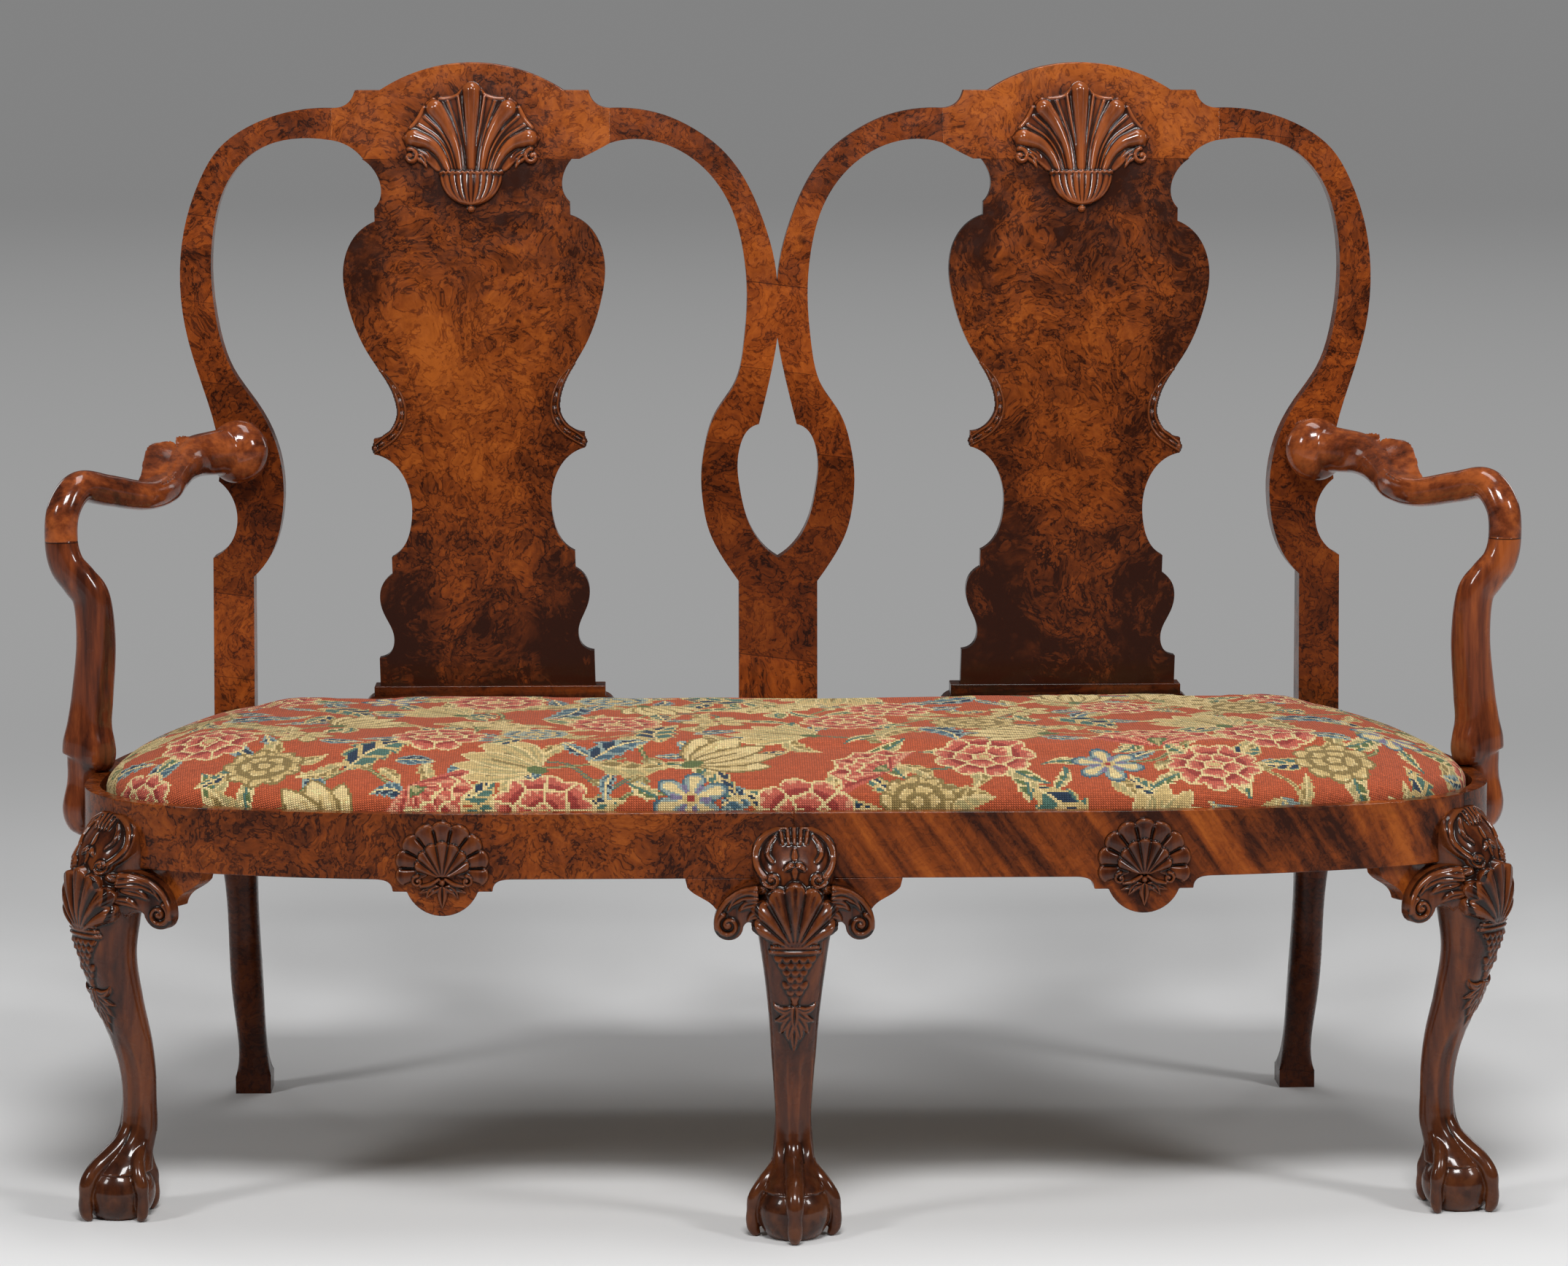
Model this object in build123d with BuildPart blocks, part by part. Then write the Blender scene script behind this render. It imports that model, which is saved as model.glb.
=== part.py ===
from build123d import *
import os
from math import asin, atan2, cos, degrees, radians, sin

os.makedirs("parts", exist_ok=True)

# Settee with two hooped chair backs, millimetres.
# X runs to the sitter's left, Y to the rear, Z up. The floor is Z = 0.

# Seat frame: heights and rail section
RAIL_TOP = 388.0
RAIL_HEIGHT = 60.0
RAIL_THICK = 34.0
LIP = 14.0
LEDGE_DROP = 20.0

# Seat frame: plan of the outer face
FRONT_Y = -304.0
POST_Y = 236.0
FRONT_FLAT = 300.0
BOW_RADIUS = 704.0
BOW_TURN = 21.6
CORNER_RADIUS = 154.0
SIDE_OVERHANG = 5.0

# Front rail pendants that carry the carved shells
PENDANT_X = 316.0
PENDANT_HALF = 62.0
SHELF_HALF = 45.0
SHELF_DROP = 11.0
ROUND_HALF = 32.0
ROUND_DROP = 33.0

# Rear rail, strut and corner blocks
REAR_RAIL_LEDGE = 26.0
REAR_RAIL_LIP = 28.0
STRUT_WIDTH = 44.0
STRUT_HEIGHT = 40.0
BLOCK_LEG = 46.0
BLOCK_HEIGHT = 30.0

# Tenons
TENON_THICK = 16.0
TENON_LONG = 22.0
TENON_SHORT = 10.0
TENON_SHOULDER = 9.0
CREST_TENON = (80.0, 6.0, 14.0)
HOOP_TENON = (22.0, 7.0, 12.0)
HOOP_TENON_DROP = 16.0

# Back: side profile as heights over the rail top and offsets behind the post face
ARCH_TOP = 666.0
BACK_OVERRUN = 16.0
BACK_LEAN = (
    (0.0, 0.0),
    (172.0, 8.0),
    (362.0, 22.0),
    (512.0, 50.0),
    (ARCH_TOP + BACK_OVERRUN, 89.0),
)
STILE_THICK = (40.0, 33.0, 28.0, 26.0, 25.0)
BOARD_THICK = (28.0, 27.0, 26.0, 25.0, 25.0)
SPLAT_THICK = (16.0, 16.0, 16.0, 16.0, 16.0)
BACK_SPAN = 800.0

# Back: outer post, middle post and joint lines
POST_OUTER = 567.0
POST_WIDTH = 40.5
MIDDLE_HALF = 39.5
CREST_JOINT_OUT = 450.0
CREST_JOINT_IN = 168.0
SPLAT_JOINT = 569.0

# Crest: middle, ears and hoop as heights over the rail top
CREST_X = 308.0
EAR_TOP = 638.0
HOOP_TOP = 620.0
ARCH_HALF = 93.0
EAR_HALF = 118.0
THROAT_HALF = 109.0

# Splat: axis foot, slope of the axis, tongue in the shoe
SPLAT_X = 292.0
SPLAT_FOOT = 42.0
SPLAT_SLOPE = 1.8
SPLAT_TONGUE = 20.0

# Shoe under the splat
SHOE_X = 290.0
SHOE_HALF = 129.0
SHOE_TOP_HALF = 116.0
SHOE_FRONT = 8.0
SHOE_PLINTH = 16.0
SHOE_COVE = 26.0
SHOE_NECK = 32.0
SHOE_STEP = 3.0
SHOE_LIFT = 2.0

# Rear legs
REAR_FOOT = (36.0, 41.0, 18.0)
REAR_FOOT_IN = 9.75
REAR_FOOT_RAKE = 83.5

# Cabriole legs: turn of the corner legs away from the X axis
LEG_TURN = 40.0
BALL_RADIUS = 33.0
BALL_HEIGHT = 23.0
FOOT_OUT = -1.8
TALON_REACH = 43.0

# Knee ears and the shaped brackets behind them
EAR_DEPTH = 16.0
BRACKET_DEPTH = 20.0
CORNER_EAR_SWEEP = 20.0

# Crest shells: lobes as angle from upright, length, half width, rise off the board
CREST_ROOT = 570.0
CREST_SHELL_TILT = 12.7
CREST_LOBES = (
    (0, 77, 15, 11),
    (38, 70, 14, 10),
    (-38, 70, 14, 10),
    (80, 66, 15, 9),
    (-80, 66, 15, 9),
)
LOBE_TAPER = 18.0
SHELL_SINK = 6.0
CUP_DROP = 15.0
CUP_HALF = 32.0
CUP_RISE = 22.0
CUP_THICK = 10.0
BEAD_DROP = 40.0
BEAD_RADIUS = 7.0

# Rail shells: lobes and leaves as angle from upright, length, root radius, tip radius
RAIL_SHELL_ROOT = 12.0
RAIL_LOBES = tuple((angle, 38, 2.5, 6.5) for angle in range(-78, 79, 26))
RAIL_LEAVES = ((180, 16, 3, 6), (140, 11, 3, 5), (-140, 11, 3, 5))

# Loose seat
SEAT_INSET = 20.0
COVER_THICK = 1.8
SOFT_GAP = 0.3
STUFFING_GAP = 0.9
SEAT_FRAME_WIDTH = 62.0
SEAT_FRAME_THICK = 18.0
SEAT_REAR_GAP = 3.0
WEB_WIDTH = 50.0
WEB_THICK = 2.0
WEB_MARGIN = 12.0
WEB_SHORT = (-405.0, -270.0, -135.0, 0.0, 135.0, 270.0, 405.0)
WEB_LONG = (-130.0, 0.0, 120.0)
WALL_HEIGHT = 20.0
CROWN_RISE = 42.0
CROWN_RUN = 128.0
CROWN_STEPS = 9
ARM_CLEAR = 18.0

# Screws: two from each side rail into the arm support, one from each stile into the arm
SCREW_RADIUS = 3.0
SCREW_HEAD = 5.0
SCREW_HEAD_THICK = 3.0
HOLE_GAP = 0.2
HEAD_GAP = 0.8
SIDE_SCREW_Y = -41.0
SIDE_SCREW_RISE = (14.0, 30.0)
SIDE_SCREW_LONG = 46.0
ARM_SCREW_IN = 8.75
ARM_SCREW_RISE = 280.0
ARM_SCREW_LONG = 58.0

# Arm ball in front of the stile: root and middle as offset from the post face, width, height
ARM_BALL = ((20.0, 42.0, 42.0), (-4.0, 59.0, 64.0))
# Arm from the ball to the shoulder: share of the way across, share of the way to the front,
# height over the rail top, width, depth
ARM_RUN = (
    (0.36, 0.16, 278, 42, 40),
    (0.47, 0.29, 274, 42, 36),
    (0.53, 0.46, 267, 45, 32),
    (0.58, 0.62, 257, 39, 29),
    (0.71, 0.80, 253, 33, 28),
)
# Shoulder, crook and support: offset outside the side rail, offset along it from the screws,
# height over the rail top, width, depth
ARM_CROOK = (
    (-4, 45, 259, 30, 29),
    (18, 17, 261, 29, 29),
    (30.8, 1, 241, 29, 29),
    (31.8, -3, 218, 29, 29),
    (27.8, -4, 196, 29, 29),
    (15.8, -4, 179, 30, 30),
    (2.8, -3, 160, 33, 33),
    (-1.2, -1, 121, 35, 34),
    (3.8, 0, 72, 41, 36),
    (7.8, 0, 30, 50, 42),
    (10.8, 0, 0, 44, 42),
    (13.8, 0, -26, 34, 36),
    (14.8, 0, -43, 36, 38),
    (13.8, 0, -60, 14, 16),
)
# Row of the crook at which the arm is joined to the support
SCARF = 3

# Places worked out from the sizes above
RAIL_BOTTOM = RAIL_TOP - RAIL_HEIGHT
LEDGE = RAIL_TOP - LEDGE_DROP
POST_INNER = POST_OUTER - POST_WIDTH
POST_MIDDLE = POST_OUTER - POST_WIDTH / 2
SIDE_REAR_X = POST_OUTER + SIDE_OVERHANG
REAR_FOOT_X = POST_MIDDLE - REAR_FOOT_IN
REAR_FOOT_Y = POST_Y + REAR_FOOT_RAKE
ARM_SCREW_X = POST_MIDDLE - ARM_SCREW_IN
BOW = radians(BOW_TURN)
CORNER_X = FRONT_FLAT + (BOW_RADIUS - CORNER_RADIUS) * sin(BOW)
CORNER_Y = FRONT_Y + BOW_RADIUS - (BOW_RADIUS - CORNER_RADIUS) * cos(BOW)
SEAT_HALF = CORNER_X + CORNER_RADIUS
SIDE_TURN = 2 * atan2(SEAT_HALF - SIDE_REAR_X, POST_Y - CORNER_Y)
SIDE_RADIUS = (POST_Y - CORNER_Y) / sin(SIDE_TURN)
REAR_RAIL_FRONT = POST_Y - REAR_RAIL_LEDGE
REAR_RAIL_BACK = POST_Y + REAR_RAIL_LIP
LEG_OUT = Vector(-cos(radians(LEG_TURN)), -sin(radians(LEG_TURN)), 0)
CORNER_LEG = Vector(-CORNER_X, CORNER_Y, 0) + LEG_OUT * CORNER_RADIUS
MIDDLE_OUT = Vector(0, -1, 0)
MIDDLE_LEG = Vector(0, FRONT_Y, 0)

# Workplanes: front view and side view with heights over the rail top
FRONT_VIEW = Plane(origin=(0, 0, RAIL_TOP), x_dir=(1, 0, 0), z_dir=(0, -1, 0))
SIDE_VIEW = Plane(origin=(0, 0, RAIL_TOP), x_dir=(0, 1, 0), z_dir=(1, 0, 0))
LEFT_CORNER = Plane(origin=(-CORNER_X, CORNER_Y, 0), z_dir=(-LEG_OUT.Y, LEG_OUT.X, 0))


def side_x(y, inset):
    """Distance of the side rail's outer line, drawn in by inset, from the middle at y."""
    radius = SIDE_RADIUS - inset
    return SEAT_HALF - SIDE_RADIUS + radius * cos(asin((y - CORNER_Y) / radius))


def seat_plan(level, inset, rear):
    """Face inside the seat frame's outer line, drawn in by inset and cut square at rear."""
    run_back = degrees(asin((rear - CORNER_Y) / (SIDE_RADIUS - inset)))
    with BuildSketch(Plane.XY.offset(level)) as plan:
        with BuildLine():
            front = Line((-FRONT_FLAT, FRONT_Y + inset), (FRONT_FLAT, FRONT_Y + inset))
            bow = JernArc(front @ 1, (1, 0), BOW_RADIUS - inset, BOW_TURN)
            corner = JernArc(bow @ 1, bow % 1, CORNER_RADIUS - inset, 90 - BOW_TURN)
            side = JernArc(corner @ 1, corner % 1, SIDE_RADIUS - inset, run_back)
            mirror([bow, corner, side], about=Plane.YZ)
            Line(side @ 1, (-(side @ 1).X, (side @ 1).Y))
        make_face()
    return plan.sketch


def back_profile(thick):
    """Side profile of a back board, from its curved front face to its rear face."""
    with BuildSketch(SIDE_VIEW) as profile:
        with BuildLine():
            front = Spline(*[(POST_Y + lean, h) for h, lean in BACK_LEAN])
            rear = Spline(*[(POST_Y + lean + t, h) for (h, lean), t in zip(BACK_LEAN, thick)])
            Line(front @ 0, rear @ 0)
            Line(front @ 1, rear @ 1)
        make_face()
    return profile.sketch


def lean_at(height):
    """Offset of the back's front face behind the post face, between the named heights."""
    for (h0, y0), (h1, y1) in zip(BACK_LEAN, BACK_LEAN[1:]):
        if height <= h1:
            return y0 + (y1 - y0) * (height - h0) / (h1 - h0)
    return BACK_LEAN[-1][1]


def leg_sections(place, out):
    """Rounded sections of a cabriole leg, from the ankle's spread over the ball up to the knee."""
    # Height, offset along the pointing direction, depth, width, corner radius
    low = (
        (40, -12, 50, 52, 20),
        (62, -21, 40, 44, 17),
        (82, -25, 35, 37, 15),
        (101, -26, 33, 33, 14),
    )
    # The same with the height as a drop below the rail top
    high = (
        (253, -25, 35, 36, 15),
        (227, -20, 40, 40, 16),
        (184, -8, 50, 46, 18),
        (136, 1, 66, 56, 20),
        (98, 2, 70, 64, 20),
        (70, -9, 86, 69, 20),
        (43, -19, 90, 69, 20),
        (13, -28, 72, 58, 20),
    )
    sections = []
    for z, f, depth, width, corner in low + tuple((RAIL_TOP - d, *rest) for d, *rest in high):
        middle = place + out * f + Vector(0, 0, z)
        with BuildSketch(Plane(middle, x_dir=out, z_dir=(0, 0, 1))) as section:
            RectangleRounded(depth, width, corner)
        sections.append(section.sketch)
    return sections


def talon_sections(place, out, turn):
    """Round sections of one talon, from the ankle over the ball to the floor."""
    away = out.rotate(Axis.Z, turn)
    centre = place + out * FOOT_OUT
    # Height, radius of the talon
    steps = ((80, 8.0), (62, 10.0), (42, 10.0), (20, 8.5), (-3, 6.0))
    reach = (12.0, 23.0, TALON_REACH - 10.0, TALON_REACH - 8.5, TALON_REACH - 13.0)
    points = [centre + away * r + Vector(0, 0, z) for r, (z, _) in zip(reach, steps)]
    sections = []
    for i, (z, radius) in enumerate(steps):
        along = points[min(i + 1, len(points) - 1)] - points[max(i - 1, 0)]
        across = out.rotate(Axis.Z, turn + 90)
        with BuildSketch(Plane(points[i], x_dir=across, z_dir=along)) as section:
            Circle(radius)
        sections.append(section.sketch)
    return sections


def ear_plane(place, out, sweep):
    """Upright plane of a knee ear: X along the rail, Y up from the rail's lower edge."""
    facing = out.rotate(Axis.Z, sweep)
    return Plane(
        place + Vector(0, 0, RAIL_BOTTOM), x_dir=facing.rotate(Axis.Z, 90), z_dir=facing
    )


def ear_face(plane, side):
    """Scrolled outline of a knee ear; side is 1 or -1 along the plane's X."""
    with BuildSketch(plane) as ear:
        with BuildLine():
            top = Spline((side * 28, -0.5), (side * 48, -6), (side * 67, -22), (side * 72.5, -40))
            curl = ThreePointArc(top @ 1, (side * 59, -54), (side * 46, -41))
            under = Spline(curl @ 1, (side * 40, -36), (side * 34, -42), (side * 28, -52))
            Line(under @ 1, top @ 0)
        make_face()
    return ear.sketch


def bracket_face(plane, side):
    """Ogee outline of the board behind a knee ear."""
    with BuildSketch(plane) as board:
        with BuildLine():
            top = Line((side * 20, 0), (side * 98, 0))
            nose = Line(top @ 1, (side * 96, -8))
            cyma = Spline(nose @ 1, (side * 86, -16), (side * 76, -22), (side * 68, -34))
            under = Spline(cyma @ 1, (side * 50, -38), (side * 34, -40), (side * 20, -50))
            Line(under @ 1, top @ 0)
        make_face()
    return board.sketch


def hoop_x(share):
    """Place on the outer hoop's shoulder, a share of the way from the crest joint to the post."""
    return -CREST_JOINT_OUT - share * (POST_OUTER - CREST_JOINT_OUT)


# Screw places: each screw's axis starts at the face it is driven from

SIDE_SCREW_X = side_x(SIDE_SCREW_Y, RAIL_THICK + HEAD_GAP)
SIDE_SCREWS = [
    Location((-SIDE_SCREW_X, SIDE_SCREW_Y, RAIL_BOTTOM + rise), (0, -90, 0))
    for rise in SIDE_SCREW_RISE
]
ARM_SCREW = Location(
    (-ARM_SCREW_X, POST_Y + lean_at(ARM_SCREW_RISE) + STILE_THICK[2], RAIL_TOP + ARM_SCREW_RISE),
    (90, 0, 0),
)

# Rails

with BuildPart() as left_front_rail:
    extrude(seat_plan(RAIL_BOTTOM - ROUND_DROP, 0, POST_Y), amount=RAIL_HEIGHT + ROUND_DROP)
    extrude(
        seat_plan(RAIL_BOTTOM - ROUND_DROP, RAIL_THICK, POST_Y + LIP),
        amount=RAIL_HEIGHT + ROUND_DROP,
        mode=Mode.SUBTRACT,
    )
    extrude(seat_plan(LEDGE, LIP, POST_Y + LIP), amount=LEDGE_DROP, mode=Mode.SUBTRACT)
    split(bisect_by=Plane.YZ, keep=Keep.BOTTOM)
    split(bisect_by=LEFT_CORNER, keep=Keep.TOP)
    with BuildSketch(Plane(origin=(-PENDANT_X, 0, RAIL_BOTTOM), x_dir=(1, 0, 0), z_dir=(0, -1, 0))):
        with BuildLine():
            left_lead = Line((-SEAT_HALF, 0), (-PENDANT_HALF, 0))
            left_cyma = Spline(
                left_lead @ 1,
                (-SHELF_HALF, -SHELF_DROP),
                tangents=((1, 0), (0, -1)),
            )
            left_shelf = Line(left_cyma @ 1, (-ROUND_HALF, -SHELF_DROP))
            drop = ThreePointArc(left_shelf @ 1, (0, -ROUND_DROP), (ROUND_HALF, -SHELF_DROP))
            right_shelf = Line(drop @ 1, (SHELF_HALF, -SHELF_DROP))
            right_cyma = Spline(
                right_shelf @ 1,
                (PENDANT_HALF, 0),
                tangents=((0, 1), (1, 0)),
            )
            right_lead = Line(right_cyma @ 1, (SEAT_HALF, 0))
            Polyline(
                right_lead @ 1,
                (SEAT_HALF, RAIL_HEIGHT),
                (-SEAT_HALF, RAIL_HEIGHT),
                left_lead @ 0,
            )
        make_face()
    extrude(amount=BACK_SPAN, both=True, mode=Mode.INTERSECT)
left_front_rail.part.label = "left_front_rail"

with BuildPart() as right_front_rail:
    mirror(left_front_rail.part, about=Plane.YZ)
right_front_rail.part.label = "right_front_rail"

with BuildPart() as left_side_rail:
    extrude(seat_plan(RAIL_BOTTOM, 0, POST_Y), amount=RAIL_HEIGHT)
    extrude(
        seat_plan(RAIL_BOTTOM, RAIL_THICK, POST_Y + LIP),
        amount=RAIL_HEIGHT,
        mode=Mode.SUBTRACT,
    )
    extrude(seat_plan(LEDGE, LIP, POST_Y + LIP), amount=LEDGE_DROP, mode=Mode.SUBTRACT)
    split(bisect_by=Plane.YZ, keep=Keep.BOTTOM)
    split(bisect_by=LEFT_CORNER, keep=Keep.BOTTOM)
    with Locations((-POST_MIDDLE, POST_Y, (RAIL_BOTTOM + LEDGE) / 2)):
        Box(
            TENON_THICK,
            TENON_LONG,
            LEDGE - RAIL_BOTTOM - 2 * TENON_SHOULDER,
            align=(Align.CENTER, Align.MIN, Align.CENTER),
        )
    with Locations(*SIDE_SCREWS):
        Cylinder(SCREW_RADIUS + HOLE_GAP, 2 * SIDE_SCREW_LONG, mode=Mode.SUBTRACT)
left_side_rail.part.label = "left_side_rail"

with BuildPart() as right_side_rail:
    mirror(left_side_rail.part, about=Plane.YZ)
right_side_rail.part.label = "right_side_rail"

with BuildPart() as rear_rail:
    with BuildSketch(Plane.YZ):
        with BuildLine():
            Polyline(
                (REAR_RAIL_FRONT, RAIL_BOTTOM),
                (REAR_RAIL_BACK, RAIL_BOTTOM),
                (REAR_RAIL_BACK, RAIL_TOP),
                (POST_Y, RAIL_TOP),
                (POST_Y, LEDGE),
                (REAR_RAIL_FRONT, LEDGE),
                close=True,
            )
        make_face()
    extrude(amount=POST_INNER, both=True)
    with Locations((0, (POST_Y + REAR_RAIL_BACK) / 2, (RAIL_BOTTOM + LEDGE) / 2)):
        Box(
            2 * (POST_INNER + TENON_SHORT),
            TENON_THICK,
            LEDGE - RAIL_BOTTOM - 2 * TENON_SHOULDER,
        )
    with Locations((0, (POST_Y + REAR_RAIL_BACK) / 2, RAIL_TOP)):
        with Locations((-MIDDLE_HALF / 2, 0, 0), (MIDDLE_HALF / 2, 0, 0)):
            Box(
                TENON_THICK,
                TENON_THICK,
                TENON_LONG,
                align=(Align.CENTER, Align.CENTER, Align.MAX),
                mode=Mode.SUBTRACT,
            )
rear_rail.part.label = "rear_rail"

# Splats and shoes

SPLAT_PLANE = Plane(
    origin=(-SPLAT_X, 0, RAIL_TOP + SPLAT_FOOT),
    x_dir=(cos(radians(SPLAT_SLOPE)), 0, sin(radians(SPLAT_SLOPE))),
    z_dir=(0, -1, 0),
)

with BuildPart() as left_splat:
    with BuildSketch(SPLAT_PLANE):
        with BuildLine():
            foot = Polyline((0, -SPLAT_TONGUE), (108, -SPLAT_TONGUE), (108, 31))
            lower = Spline(foot @ 1, (95, 39), (93, 54), (103, 78), (105, 97), (92, 115))
            lower_fillet = Line(lower @ 1, (92, 132))
            neck = Spline(lower_fillet @ 1, (80, 142), (71, 167), (71, 194), (85, 224), (106, 236))
            tip = Line(neck @ 1, (106, 251))
            vase = Spline(
                tip @ 1,
                (90, 258),
                (81, 276),
                (89, 305),
                (109, 337),
                (127, 383),
                (131, 425),
                (123, 448),
                (98.5, 468),
            )
            vase_fillet = Line(vase @ 1, (98.5, 481))
            top = Spline(vase_fillet @ 1, (91.5, 494), (92, 506), (112, 532))
            Polyline(top @ 1, (0, 532), foot @ 0)
        make_face()
        mirror(about=Plane.YZ)
    extrude(amount=BACK_SPAN, both=True)
    extrude(back_profile(SPLAT_THICK), amount=BACK_SPAN, both=True, mode=Mode.INTERSECT)
    split(bisect_by=Plane.XY.offset(RAIL_TOP + SPLAT_JOINT), keep=Keep.BOTTOM)
    with Locations(
        (
            -CREST_X,
            POST_Y + lean_at(SPLAT_JOINT) + SPLAT_THICK[0] / 2,
            RAIL_TOP + SPLAT_JOINT,
        )
    ):
        Box(*CREST_TENON)
left_splat.part.label = "left_splat"

with BuildPart() as right_splat:
    mirror(left_splat.part, about=Plane.YZ)
right_splat.part.label = "right_splat"

SHOE_PLANE = Plane(origin=(-SHOE_X, 0, RAIL_TOP), x_dir=(1, 0, 0), z_dir=(0, -1, 0))
SHOE_NOSE = POST_Y - SHOE_FRONT

with BuildPart() as left_shoe:
    with BuildSketch(SHOE_PLANE):
        with BuildLine():
            plinth = Polyline(
                (0, 0),
                (SHOE_HALF, 0),
                (SHOE_HALF, SHOE_PLINTH),
                (SHOE_HALF - SHOE_STEP, SHOE_PLINTH),
            )
            hollow = ThreePointArc(
                plinth @ 1, (SHOE_HALF - SHOE_STEP - 2, SHOE_COVE), (SHOE_TOP_HALF, SHOE_NECK)
            )
            Polyline(hollow @ 1, (SHOE_TOP_HALF, SPLAT_FOOT), (0, SPLAT_FOOT), plinth @ 0)
        make_face()
        mirror(about=Plane.YZ)
    extrude(amount=BACK_SPAN, both=True)
    with BuildSketch(SIDE_VIEW):
        with BuildLine():
            nose = Polyline(
                (POST_Y, 0),
                (POST_Y, SHOE_LIFT),
                (SHOE_NOSE, SHOE_LIFT),
                (SHOE_NOSE, SHOE_PLINTH),
            )
            rise = ThreePointArc(
                nose @ 1, (SHOE_NOSE + SHOE_STEP, SHOE_COVE), (SHOE_NOSE + SHOE_STEP + 1, SHOE_NECK)
            )
            Polyline(
                rise @ 1,
                (SHOE_NOSE + SHOE_STEP + 1, SPLAT_FOOT),
                (REAR_RAIL_BACK, SPLAT_FOOT),
                (REAR_RAIL_BACK, 0),
                nose @ 0,
            )
        make_face()
    extrude(amount=BACK_SPAN, both=True, mode=Mode.INTERSECT)
    add(left_splat.part, mode=Mode.SUBTRACT)
left_shoe.part.label = "left_shoe"

with BuildPart() as right_shoe:
    mirror(left_shoe.part, about=Plane.YZ)
right_shoe.part.label = "right_shoe"

# Crest rails

with BuildPart() as left_crest:
    with BuildSketch(FRONT_VIEW):
        with BuildLine():
            ear_left = Line((-CREST_X - EAR_HALF, EAR_TOP), (-CREST_X - ARCH_HALF, EAR_TOP))
            arch = ThreePointArc(
                ear_left @ 1, (-CREST_X, ARCH_TOP), (-CREST_X + ARCH_HALF, EAR_TOP)
            )
            ear_right = Line(arch @ 1, (-CREST_X + EAR_HALF, EAR_TOP))
            cyma_right = Spline(
                ear_right @ 1,
                (-CREST_X + EAR_HALF + 6, EAR_TOP - 12),
                (-CREST_JOINT_IN, HOOP_TOP),
            )
            side_right = Line(cyma_right @ 1, (-CREST_JOINT_IN, 585))
            throat_right = Spline(
                side_right @ 1, (-179, 579), (-CREST_X + THROAT_HALF, SPLAT_JOINT)
            )
            bottom = Line(throat_right @ 1, (-CREST_X - THROAT_HALF, SPLAT_JOINT))
            throat_left = Spline(bottom @ 1, (-432, 582), (-CREST_JOINT_OUT, 588))
            side_left = Line(throat_left @ 1, (-CREST_JOINT_OUT, HOOP_TOP))
            Spline(
                side_left @ 1,
                (-CREST_X - EAR_HALF - 6, EAR_TOP - 12),
                ear_left @ 0,
            )
        make_face()
    extrude(amount=BACK_SPAN, both=True)
    extrude(back_profile(BOARD_THICK), amount=BACK_SPAN, both=True, mode=Mode.INTERSECT)
    add(left_splat.part, mode=Mode.SUBTRACT)
    joint_rise = HOOP_TOP - HOOP_TENON_DROP
    joint_y = POST_Y + lean_at(joint_rise) + BOARD_THICK[-1] / 2
    with Locations(
        (-CREST_JOINT_OUT, joint_y, RAIL_TOP + joint_rise),
        (-CREST_JOINT_IN, joint_y, RAIL_TOP + joint_rise),
    ):
        Box(*HOOP_TENON)
left_crest.part.label = "left_crest"

with BuildPart() as right_crest:
    mirror(left_crest.part, about=Plane.YZ)
right_crest.part.label = "right_crest"

# Stiles

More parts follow.
